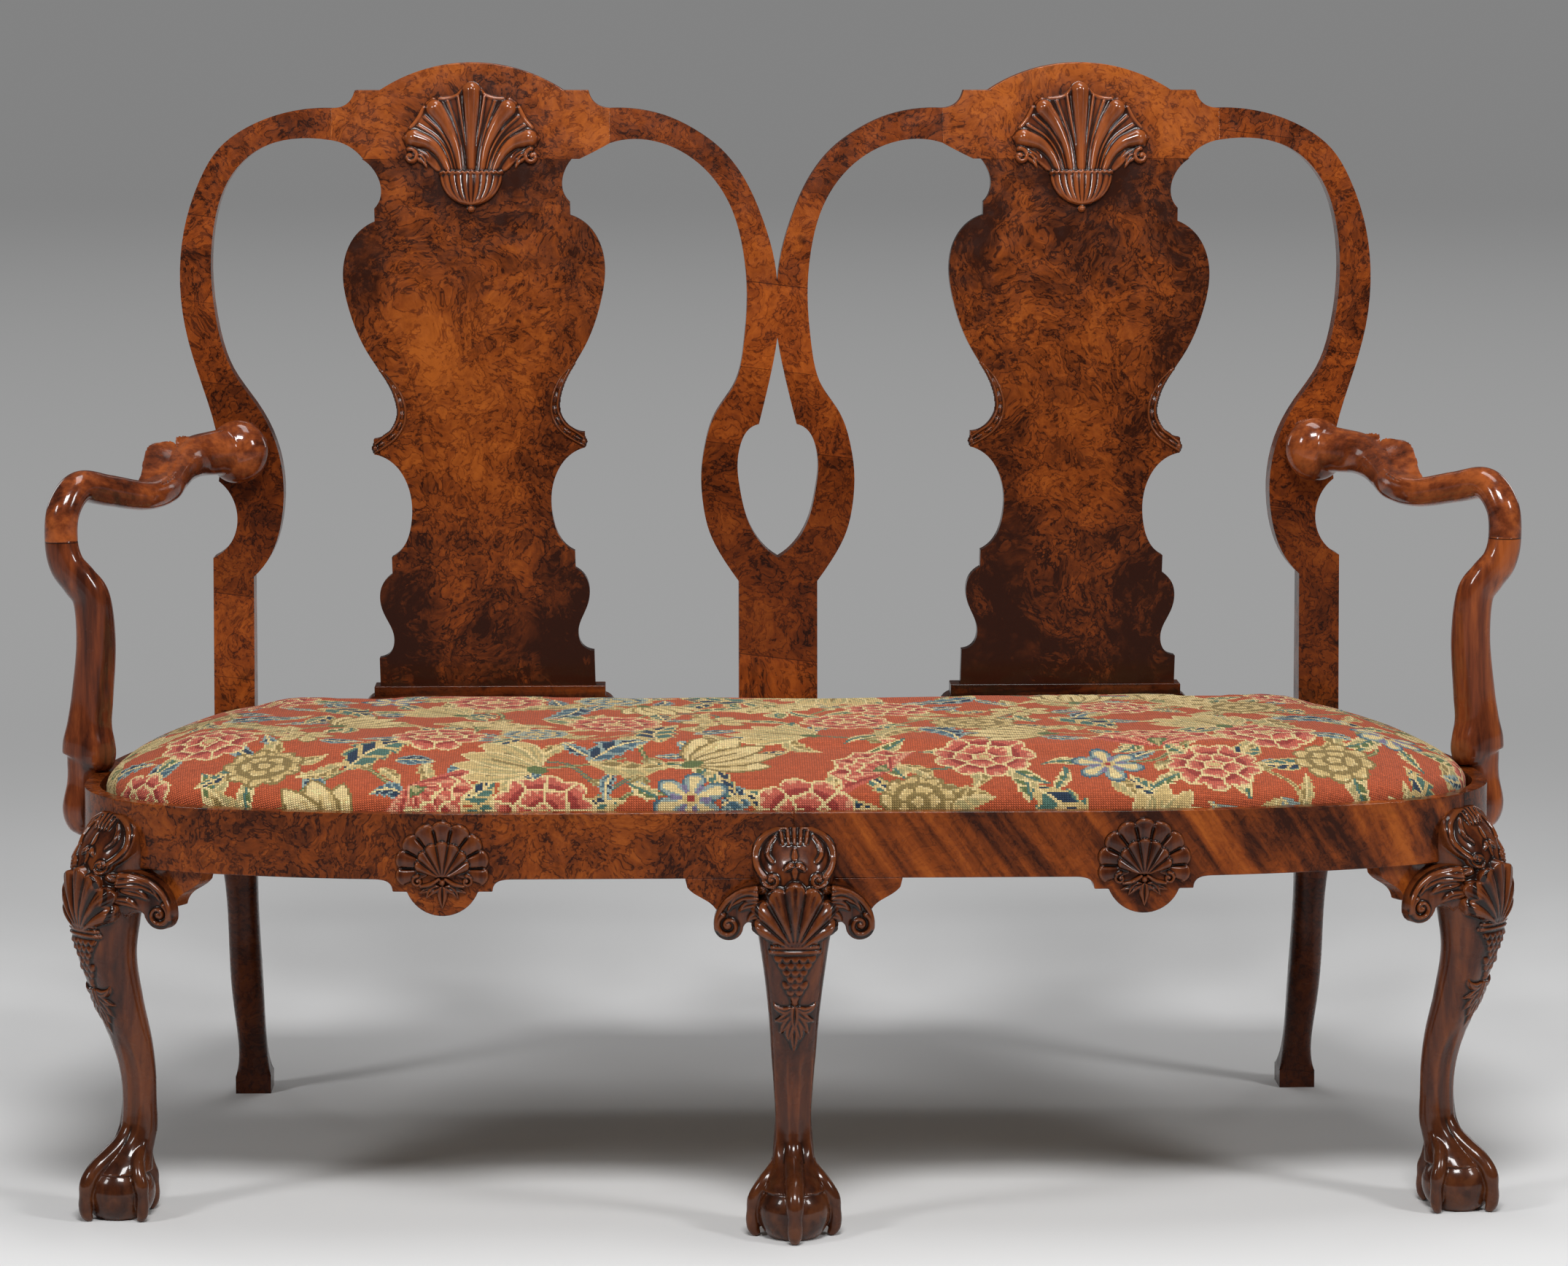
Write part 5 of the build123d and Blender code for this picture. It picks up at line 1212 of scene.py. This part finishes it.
def seat_line(inset, rear):
    """Closed line of the seat's plan, drawn in by inset, with even points."""
    pts = [(0.0, FRONT_Y + inset), (FRONT_FLAT, FRONT_Y + inset)]
    x, y, heading = FRONT_FLAT, FRONT_Y + inset, 0.0
    for radius, turn in ((BOW_RADIUS, BOW_TURN), (CORNER_RADIUS, 90 - BOW_TURN), (SIDE_RADIUS, 40)):
        radius -= inset
        cx, cy = x - radius * math.sin(heading), y + radius * math.cos(heading)
        for a in np.linspace(0, math.radians(turn), 160)[1:]:
            px, py = cx + radius * math.sin(heading + a), cy - radius * math.cos(heading + a)
            if py >= rear:
                break
            pts.append((px, py))
        heading += math.radians(turn)
        x, y = pts[-1]
    pts.append((pts[-1][0], rear))
    half = np.array(pts)
    whole = np.vstack([half, half[::-1] * (-1, 1)])
    run = np.concatenate([[0], np.cumsum(np.hypot(*np.diff(whole, axis=0).T))])
    even = np.arange(0, run[-1], 1.0)
    return np.column_stack([np.interp(even, run, whole[:, k]) for k in (0, 1)])


# Length along the crown's elliptic section against how far out it reaches
ARC = np.linspace(0, math.pi / 2, 400)
ARC_OUT = CROWN_RUN * np.sin(ARC)
ARC_Z = CROWN_RISE * np.cos(ARC)
ARC_RUN = np.concatenate([[0], np.cumsum(np.hypot(np.diff(ARC_OUT), np.diff(ARC_Z)))])


# Points of the cloth laid at one time
CHUNK = 20000


def drape(u, v):
    """Where flat cloth at u, v comes to lie on the crowned pad, and how far it is past the flat top."""
    line = seat_line(SEAT_INSET + CROWN_RUN, SEAT_REAR - CROWN_RUN)
    near = np.empty((len(u), 2))
    gap = np.empty(len(u))
    for i in range(0, len(u), CHUNK):
        some = slice(i, i + CHUNK)
        p = np.column_stack([u[some], v[some]])
        best = np.full(len(p), 1e18)
        pick = np.zeros(len(p), int)
        for j in range(0, len(line), 200):
            d = ((p[:, None] - line[None, j:j + 200]) ** 2).sum(-1)
            k = d.argmin(1)
            m = d[np.arange(len(p)), k]
            pick = np.where(m < best, k + j, pick)
            best = np.minimum(best, m)
        near[some] = line[pick]
        gap[some] = np.sqrt(best)
    # Points inside the line lie on the flat top
    inside = within(u, v, line[::4])
    gap = np.where(inside, 0, gap)
    way = np.column_stack([u, v]) - near
    way /= np.maximum(np.linalg.norm(way, axis=1, keepdims=True), 1e-6)
    reach = np.interp(gap, ARC_RUN, ARC_OUT)
    z = WALL_TOP + np.interp(gap, ARC_RUN, ARC_Z) - np.clip(gap - ARC_RUN[-1], 0, None)
    x = np.where(inside, u, near[:, 0] + way[:, 0] * reach)
    y = np.where(inside, v, near[:, 1] + way[:, 1] * reach)
    return np.column_stack([x, y, z]), gap


STITCH = 2.2
U0, U1, V0, V1 = -670.0, 670.0, -335.0, 262.0
COARSE = 11.0


def seat_net(pitch, lay):
    """Net of cloth laid on the seat and cut off at the foot of its wall."""
    us, vs = np.arange(U0, U1, pitch), np.arange(V0, V1, pitch)
    U, V = (a.ravel() for a in np.meshgrid(us, vs))
    co, gap = lay(U, V)
    faces = grid_faces(len(vs), len(us))
    keep = (gap[faces] < ARC_RUN[-1] + WALL).all(1)
    used, packed = np.unique(faces[keep], return_inverse=True)
    return us, vs, U, V, co, gap, keep, used, packed


def swell():
    """Cloth under pressure over the pad: how far a coarse net moves from the plain crown."""
    us, vs, U, V, co, gap, keep, used, packed = seat_net(COARSE, drape)
    start = co[used].copy()
    start[:, 2] -= 2.5 * step(20, 90, ARC_RUN[-1] - gap[used])
    o = make_object("seat_swell", start, packed.reshape(-1, 4))
    held = o.vertex_groups.new(name="held")
    for i in np.nonzero(gap[used] > ARC_RUN[-1] - 1)[0]:
        held.add([int(i)], 1.0, "REPLACE")
    cloth = o.modifiers.new("cloth", "CLOTH")
    s = cloth.settings
    s.vertex_group_mass = "held"
    s.quality = 6
    s.mass = 0.4
    s.tension_stiffness = s.compression_stiffness = 18
    s.shear_stiffness = 8
    s.bending_stiffness = 2
    s.use_pressure = True
    s.uniform_pressure_force = 3.0
    s.effector_weights.gravity = 0.0
    for f in range(1, 19):
        SCENE.frame_set(f)
    bpy.context.view_layer.update()
    made = o.evaluated_get(bpy.context.evaluated_depsgraph_get()).to_mesh()
    after = points_of(made)
    out = normals_of(o.data)
    move = np.zeros((len(vs) * len(us), 3))
    move[used] = out * np.clip(((after - co[used]) * out).sum(1), -1.0, 5.0)[:, None]
    SCENE.frame_set(1)
    bpy.data.objects.remove(o)
    return move.reshape(len(vs), len(us), 3)


# Needlework pattern: flowers, leaves and stems worked stitch by stitch

def srgb(r, g, b):
    c = np.array([r, g, b]) / 255.0
    return np.where(c <= 0.04045, c / 12.92, ((c + 0.055) / 1.055) ** 2.4)


GROUND = srgb(180, 84, 50)
CREAM, STRAW, OLIVE = srgb(224, 198, 142), srgb(204, 176, 118), srgb(140, 118, 70)
PINK, ROSE, WINE = srgb(218, 152, 118), srgb(192, 94, 76), srgb(152, 58, 50)
NAVY, BLUE, SKY = srgb(40, 56, 76), srgb(70, 98, 112), srgb(144, 158, 150)
GREEN, TEAL, MOSS = srgb(96, 110, 66), srgb(78, 112, 100), srgb(172, 158, 108)
VIOLET = srgb(126, 116, 142)
STRAWS = (OLIVE, STRAW, CREAM, CREAM)
BUFFS = (OLIVE, STRAW, CREAM, OLIVE)
PINKS = (WINE, ROSE, PINK, CREAM)
BLUES = (NAVY, BLUE, SKY, CREAM)
GREENS = ((NAVY, TEAL, STRAW, CREAM), (OLIVE, MOSS, STRAW, CREAM), (NAVY, BLUE, SKY, CREAM),
          (GREEN, MOSS, CREAM, TEAL))


class Stitches:
    def __init__(self, us, vs):
        self.us, self.vs = us, vs
        self.c = np.empty((len(vs), len(us), 3))
        self.c[:] = GROUND

    def local(self, x, y, turn, reach):
        """Opens a window round a place; gives coordinates along and across a direction there."""
        i = np.searchsorted(self.us, (x - reach, x + reach))
        j = np.searchsorted(self.vs, (y - reach, y + reach))
        self.view = self.c[j[0]:j[1], i[0]:i[1]]
        dx, dy = np.meshgrid(self.us[i[0]:i[1]] - x, self.vs[j[0]:j[1]] - y)
        a = math.radians(turn)
        return dx * math.cos(a) + dy * math.sin(a), -dx * math.sin(a) + dy * math.cos(a)

    def paint(self, mask, colour):
        self.view[mask] = colour

    def stem(self, pts, colour, shade, width=2.3):
        pts = smooth_line(pts, 30)
        x, y = pts.mean(0)
        p, q = self.local(x, y, 0, np.abs(pts - (x, y)).max() + 6)
        best = np.full(p.shape, 1e9)
        for (ax, ay), (bx, by) in zip(pts[:-1] - (x, y), pts[1:] - (x, y)):
            dx, dy = bx - ax, by - ay
            t = np.clip(((p - ax) * dx + (q - ay) * dy) / max(dx * dx + dy * dy, 1e-6), 0, 1)
            best = np.minimum(best, np.hypot(p - ax - t * dx, q - ay - t * dy))
        self.paint(best < width, colour)
        self.paint(best < width * 0.45, shade)

    def leaf(self, x, y, turn, length, half, colours, bend=0.0, teeth=0):
        """Leaf with a pale vein, one half in shade and a light edge."""
        p, q = self.local(x, y, turn, length + half)
        s = np.clip(p / length, 0.001, 0.999)
        q = q - bend * np.sin(math.pi * s) * half
        w = half * np.sin(math.pi * s ** 0.75)
        if teeth:
            w = w * (1 - 0.34 * (teeth * s % 1.0))
        dark, mid, pale, vein = colours
        on = (p > 0) & (p < length) & (np.abs(q) < w)
        share = np.abs(q) / np.maximum(w, 0.1)
        self.paint(on, mid)
        self.paint(on & (q > 0) & (share < 0.72), dark)
        ribs = np.sin((p - np.abs(q) * 0.9) / length * math.pi * 8) > 0.55
        self.paint(on & ribs & (share < 0.8), pale)
        self.paint(on & (np.abs(q) > w - 2.3), pale)
        self.paint(on & (np.abs(q) < 1.4), vein)

    def peony(self, x, y, turn, size, colours, seed):
        """Full flower of crowded petals, each with a pale edge."""
        p, q = self.local(x, y, turn, size * 1.08)
        rng = np.random.default_rng(seed)
        dark, mid, pale, edge = colours
        rad, ang = np.hypot(p, q), np.arctan2(q, p)
        rim = size * (0.83 + 0.17 * np.abs(np.cos(ang * 4.5 + seed)) ** 0.8)
        seeds = [(0.0, 0.0)]
        far = [0.0]
        for count, reach in ((5, 0.36), (9, 0.74)):
            first = rng.uniform(0, 6.3)
            for k in range(count):
                a = first + 2 * math.pi * (k + rng.uniform(-0.16, 0.16)) / count
                seeds.append((size * reach * math.cos(a), size * reach * math.sin(a)))
                far.append(size * reach)
        d = np.stack([np.hypot(p - a, q - b) for a, b in seeds])
        pick = d.argmin(0)
        close = np.sort(d, 0)[:2]
        on = rad < rim
        out = (rad - np.array(far)[pick]) / size
        self.paint(on, mid)
        self.paint(on & (out < -0.06), dark)
        self.paint(on & (out > 0.08) & (np.sin(ang * 22) > -0.2), pale)
        self.paint(on & (close[1] - close[0] < 2.6), edge)
        self.paint(on & (rad > rim - 3.0), edge)
        self.paint(rad < 0.11 * size, STRAW)

    def bell(self, x, y, turn, size, colours):
        """Open flower from the side: five overlapping petals with shaded stripes."""
        dark, mid, pale, edge = colours
        petals = (44, 0.86, 0.19), (-44, 0.86, 0.19), (21, 0.98, 0.22), (-21, 0.98, 0.22), (0, 1.0, 0.20)
        for tilt, length, half in petals:
            p, q = self.local(x, y, turn + tilt, size * 1.1)
            p, q = p / size, q / size
            w = half * np.sin(math.pi * np.clip(p / length, 0.001, 0.999) ** 0.95) ** 0.7
            on = (p > 0) & (p < length) & (np.abs(q) < w)
            self.paint(on, mid)
            self.paint(on & (np.abs(q) < w * 0.72), pale)
            self.paint(on & (np.sin(q * 62 + tilt) > 0.5) & (p < 0.7 * length), mid)
            self.paint(on & (np.abs(q) > w - 0.035), edge)
            self.paint(on & (np.abs(q) < 0.02) & (p < 0.6), dark)
        p, q = self.local(x, y, turn, size * 0.3)
        self.paint(np.hypot(p, q * 1.4) < size * 0.13, GREEN)

    def pink(self, x, y, turn, size, colours):
        """Toothed flower from the side over a green cup."""
        p, q = self.local(x, y, turn, size * 1.05)
        rad, ang = np.hypot(p, q), np.degrees(np.arctan2(q, p))
        dark, mid, pale, edge = colours
        for share, wide in ((1.0, 78), (0.76, 66), (0.54, 52)):
            reach = size * share * (1 - 0.13 * np.abs(np.sin(np.radians(ang) * 6 + share * 5)))
            on = (np.abs(ang) < wide) & (rad < reach)
            self.paint(on, edge)
            self.paint(on & (rad < reach - 3.4), mid)
            self.paint(on & (np.sin(np.radians(ang) * 21 + share * 9) > 0.3) & (rad < reach - 5), pale)
            self.paint(on & (np.sin(np.radians(ang) * 12) > 0.75) & (rad < reach - 7), dark)
        self.paint((np.abs(ang) < 36) & (rad < size * 0.26), GREEN)
        self.paint((np.abs(ang) < 18) & (rad < size * 0.22), MOSS)

    def star(self, x, y, turn, size, colours, petals=6):
        p, q = self.local(x, y, turn, size * 1.05)
        rad, ang = np.hypot(p, q), np.arctan2(q, p)
        dark, mid, pale, edge = colours
        reach = size * (0.46 + 0.54 * np.abs(np.cos(ang * petals / 2)) ** 0.7)
        self.paint(rad < reach, edge)
        self.paint(rad < reach - 3.0, mid)
        self.paint((rad < reach - 6.0) & (np.abs(np.cos(ang * petals / 2)) > 0.8), pale)
        self.paint((np.abs(np.sin(ang * petals / 2)) > 0.85) & (rad < size * 0.5), dark)
        self.paint(rad < size * 0.2, STRAW)
        self.paint(rad < size * 0.1, WINE)

    def bud(self, x, y, turn, size, colours):
        self.leaf(x, y, turn, size, size * 0.32, colours)
        for tilt in (32, -32):
            self.leaf(x, y, turn + tilt, size * 0.6, size * 0.15, (GREEN, MOSS, MOSS, OLIVE))


def work_pattern(us, vs):
    """Flowers, leaves and curling stems strewn over a brick-red ground."""
    st = Stitches(us, vs)
    rng = np.random.default_rng(41)
    spots = []
    for k, y in enumerate((-300, -222, -144, -66, 12, 90, 168, 246)):
        for i in range(-6, 7):
            x = (i + 0.5 * (k % 2)) * 110 + rng.uniform(-18, 18)
            spots.append((x, y + rng.uniform(-14, 14), (2 * i + 3 * k) % 9, rng.uniform(0, 360)))
    for n, (x, y, _, turn) in enumerate(spots):
        a = math.radians(turn + 180)
        bend = rng.uniform(-34, 34)
        ex, ey = x + 92 * math.cos(a), y + 74 * math.sin(a)
        mid = (0.5 * (x + ex) + bend * math.sin(a), 0.5 * (y + ey) - bend * math.cos(a))
        stalk = (TEAL, MOSS, STRAW, GREEN)[n % 4], (OLIVE, GREEN, OLIVE, MOSS)[n % 4]
        st.stem([(x, y), mid, (ex, ey)], *stalk)
        st.bud(ex, ey, turn + 180 + rng.uniform(-50, 50), rng.uniform(20, 30),
               (PINKS, STRAWS, BLUES, GREENS[1])[n % 4])
    for x, y, _, turn in spots:
        for j in range(4):
            t = turn + 60 + 82 * j + rng.uniform(-20, 20)
            a = math.radians(t)
            r0 = rng.uniform(20, 34)
            st.leaf(x + r0 * math.cos(a), y + r0 * math.sin(a), t + rng.uniform(-40, 40),
                    rng.uniform(34, 62), rng.uniform(8, 14), GREENS[rng.integers(4)],
                    rng.uniform(-0.8, 0.8), (0, 5, 4, 0)[j])
    for n, (x, y, kind, turn) in enumerate(spots):
        size = rng.uniform(0.92, 1.15)
        a = math.radians(turn)
        bx, by = x - 34 * math.cos(a), y - 34 * math.sin(a)
        if kind in (0, 5):
            st.peony(x, y, turn, 44 * size, PINKS, n)
        elif kind in (1, 6):
            st.bell(bx, by, turn, 74 * size, BUFFS if kind == 1 else GREENS[1])
        elif kind == 2:
            st.peony(x, y, turn, 38 * size, (BLUE, SKY, CREAM, STRAW) if n % 3 == 0 else BUFFS, n)
        elif kind == 3:
            st.pink(bx, by, turn, 62 * size, PINKS if n % 2 else STRAWS)
        elif kind == 4:
            st.leaf(bx, by, turn, 92 * size, 24, GREENS[0], 0.5, 5)
        elif kind == 7:
            colours = (VIOLET, SKY, CREAM, BLUE) if n % 2 else (OLIVE, CREAM, STRAW, OLIVE)
            st.star(x, y, turn, 32 * size, colours)
        else:
            st.leaf(bx, by, turn + 24, 84 * size, 19, GREENS[2], 0.6, 5)
            st.leaf(bx, by, turn - 24, 84 * size, 19, GREENS[1], -0.6, 5)
    shade = 1 + 0.08 * rng.standard_normal((len(vs), len(us)))
    shade += 0.04 * rng.standard_normal(len(vs))[:, None]
    fade = 1 + 0.07 * np.sin(us / 160 + 1.3) * np.cos(vs / 120)[:, None]
    return np.clip(1.25 * st.c * (shade * fade)[..., None], 0, 1)


SWELL = swell()


def lie(u, v):
    """Where the cloth at u, v lies once the pad has pushed it out."""
    co, gap = drape(u, v)
    if SWELL is not None:
        co += bilinear(SWELL, (u - U0) / COARSE, (v - V0) / COARSE)
    return co, gap


def cover():
    """Needlework cover: one face to a stitch, each with its own colour."""
    us, vs, U, V, co, gap, keep, used, packed = seat_net(STITCH, lie)
    co[:, 2] += 0.5 * np.sin(U / 37) * np.cos(V / 29) * step(0, 40, ARC_RUN[-1] - gap)
    cols = len(us)
    colours = work_pattern(us[:-1] + STITCH / 2, vs[:-1] + STITCH / 2).reshape(-1, 3)[keep]
    o = make_object("needlework_cover_worked", co[used], packed.reshape(-1, 4), NEEDLE)
    me = o.data
    layer = me.attributes.new("stitch", "FLOAT_COLOR", "FACE")
    opaque = np.column_stack([colours, np.ones(len(colours))])
    layer.data.foreach_set("color", opaque.astype(np.float32).ravel())
    uv = me.uv_layers.new(name="cloth")
    corner = np.empty(len(me.loops), np.int32)
    me.loops.foreach_get("vertex_index", corner)
    grid = np.column_stack([(used % cols), (used // cols)]).astype(np.float32)
    uv.data.foreach_set("uv", grid[corner].ravel())
    thick = o.modifiers.new("thickness", "SOLIDIFY")
    thick.thickness = 0.0014
    thick.offset = -1
    return o


seat_cover = cover()
finish_piece(seat_cover, "slip_seat", "needlework", "needlework_cover")


# Gap of the pad under the cover; level, thickness, half width, inset and rear end of the webbing bands
PAD_UNDER, WEB_Z, WEB_THICK, WEB_HALF, WEB_INSET, WEB_REAR = 4.5, RAIL_TOP, 2.0, 25.0, 34.1, 210.9
WEB_SHORT = (-405.0, -270.0, -135.0, 0.0, 135.0, 270.0, 405.0)
WEB_LONG = (-130.0, 0.0, 120.0)


def stuffing():
    """Pad under the cover, a little inside it, flat where it rests on the webbing."""
    us, vs, U, V, co, gap, keep, used, packed = seat_net(COARSE, lie)
    o = make_object("stuffing_pad", co[used], packed.reshape(-1, 4), TICKING)
    co = co[used] - PAD_UNDER * normals_of(o.data)
    co[:, 2] = np.maximum(co[:, 2], WEB_Z + WEB_THICK + 0.2)
    put_points(o.data, co)
    mend(o.data, lambda bm: bmesh.ops.holes_fill(bm, edges=[e for e in bm.edges if e.is_boundary], sides=0),
         face_out)
    o.data.set_sharp_from_angle(angle=math.radians(50))
    return o


def webbing():
    """Woven bands over the loose frame, each passing over and under the others in turn."""
    line = seat_line(WEB_INSET, WEB_REAR)
    shells = []

    def band(ends, crossings, signs, place):
        t = np.linspace(*ends, int((ends[1] - ends[0]) / 5))
        height = curve(np.column_stack([[ends[0], *crossings, ends[1]], [-1, *signs, -1]]), t, 1)
        corners = [np.column_stack([place(t, side * WEB_HALF), WEB_Z + (height + up) * WEB_THICK / 2])
                   for side, up in ((-1, -1), (1, -1), (1, 1), (-1, 1))]
        shells.append((np.stack(corners, 1).reshape(-1, 3), tube_faces(len(t), 4)))

    front = line[line[:, 1] < 0]
    for i, x in enumerate(WEB_SHORT):
        near = front[np.abs(front[:, 0] - x) < WEB_HALF + 1]
        band((near[:, 1].max() + 1, WEB_REAR - 1), WEB_LONG, [(-1) ** (i + j) for j in range(3)],
             lambda t, off: np.column_stack([np.full(len(t), x + off), t]))
    for j, y in enumerate(WEB_LONG):
        near = line[np.abs(line[:, 1] - y) < WEB_HALF + 1]
        wide = near[near[:, 0] > 0][:, 0].min() - 1
        band((-wide, wide), WEB_SHORT, [-(-1) ** (i + j) for i in range(7)],
             lambda t, off: np.column_stack([t, np.full(len(t), y - off)]))
    o = make_object("webbing_bands", *join(shells), WEBBING)
    o.data.set_sharp_from_angle(angle=math.radians(40))
    return o


seat_pad = stuffing()
finish_piece(seat_pad, "slip_seat", "stuffing", "stuffing")
finish_piece(webbing(), "slip_seat", "webbing", "webbing")


# Floor, backdrop, light and camera

def studio():
    """Plain pale floor that runs off into a grey background, glowing with a painted pool of light that is
    brightest near the middle.
    """
    m, place = start_material("studio_paper")
    t = m.node_tree
    ray = node(t, "ShaderNodeLightPath")
    camera_ray, glossy_ray = Val(ray, "Is Camera Ray"), Val(ray, "Is Glossy Ray")
    # Pale wherever it is seen; in front it sends back less light, which keeps a veil off the varnish
    tone = place.parts()[1].window(-2.2, -0.9, 0.2, 0.77).op("MAXIMUM", camera_ray * 0.77)
    dress(m, grey(tone), 0.8, Specular_IOR_Level=0.1)
    reach = Val(node(t, "ShaderNodeVectorMath", {0: place}, operation="LENGTH"), "Value")
    # Painted pool of light: the far floor glows, brighter near the middle and greyer further off
    painted_light_pool = Val(node(t, "ShaderNodeEmission", {"Strength": reach.window(3.0, 26.0, 0.345, 0.225)}))
    share = camera_ray.op("MAXIMUM", glossy_ray) * reach.window(1.1, 3.6)
    both = node(t, "ShaderNodeMixShader", {0: share, 1: Val(t.nodes["Principled BSDF"]), 2: painted_light_pool})
    t.links.new(both.outputs[0], t.nodes["Material Output"].inputs["Surface"])
    side = 90000
    corners = [(-side, -side, 0), (side, -side, 0), (side, side, 0), (-side, side, 0)]
    floor = make_object("studio_floor", corners, [(0, 1, 2, 3)], m)


studio()


def lamp(name, place, aim, size, power):
    data = bpy.data.lights.new(name, "AREA")
    data.shape = "RECTANGLE"
    data.size, data.size_y = size
    data.energy = power
    o = bpy.data.objects.new(name, data)
    o.location = place
    o.rotation_euler = (Vector(aim) - Vector(place)).to_track_quat("-Z", "Y").to_euler()
    SCENE.collection.objects.link(o)


lamp("front_top", (0.0, -3.0, 3.9), (0.0, 0.1, 0.5), (1.4, 0.8), 125)
lamp("left_box", (-2.9, -2.1, 2.6), (0.0, 0.0, 0.5), (0.6, 0.9), 36)
lamp("right_box", (2.9, -2.1, 2.6), (0.0, 0.0, 0.5), (0.6, 0.9), 42)
lamp("rear_left", (-2.6, 3.0, 1.5), (0.0, 0.2, 0.7), (0.8, 1.2), 6)
lamp("rear_right", (2.6, 3.0, 1.5), (0.0, 0.2, 0.7), (0.8, 1.2), 6)
lamp("overhead", (0.3, 0.2, 3.7), (0.0, 0.0, 0.5), (2.2, 1.0), 42)

world = bpy.data.worlds.new("studio_air")
SCENE.world = world
world.use_nodes = True
air = world.node_tree
air.nodes["Background"].inputs[0].default_value = (0.80, 0.81, 0.82, 1)
air.nodes["Background"].inputs[1].default_value = 0.08
backdrop = Val(node(air, "ShaderNodeBackground", {0: (0.225, 0.225, 0.225, 1), 1: 1.0}))
seen = Val(node(air, "ShaderNodeLightPath"), "Is Camera Ray")
both = node(air, "ShaderNodeMixShader", {0: seen, 1: Val(air.nodes["Background"]), 2: backdrop})
air.links.new(both.outputs[0], air.nodes["World Output"].inputs["Surface"])

camera = bpy.data.cameras.new("camera")
camera.sensor_width = 36.0
camera.lens = 112.2
camera.shift_y = -0.093
camera.clip_start, camera.clip_end = 0.1, 200
cam = bpy.data.objects.new("camera", camera)
SCENE.collection.objects.link(cam)
cam.location = (-0.128, -4.646, 1.100)
cam.rotation_euler = (math.radians(90 - 5.5), 0, math.radians(-1.57))
SCENE.camera = cam

SCENE.view_settings.view_transform = "Standard"
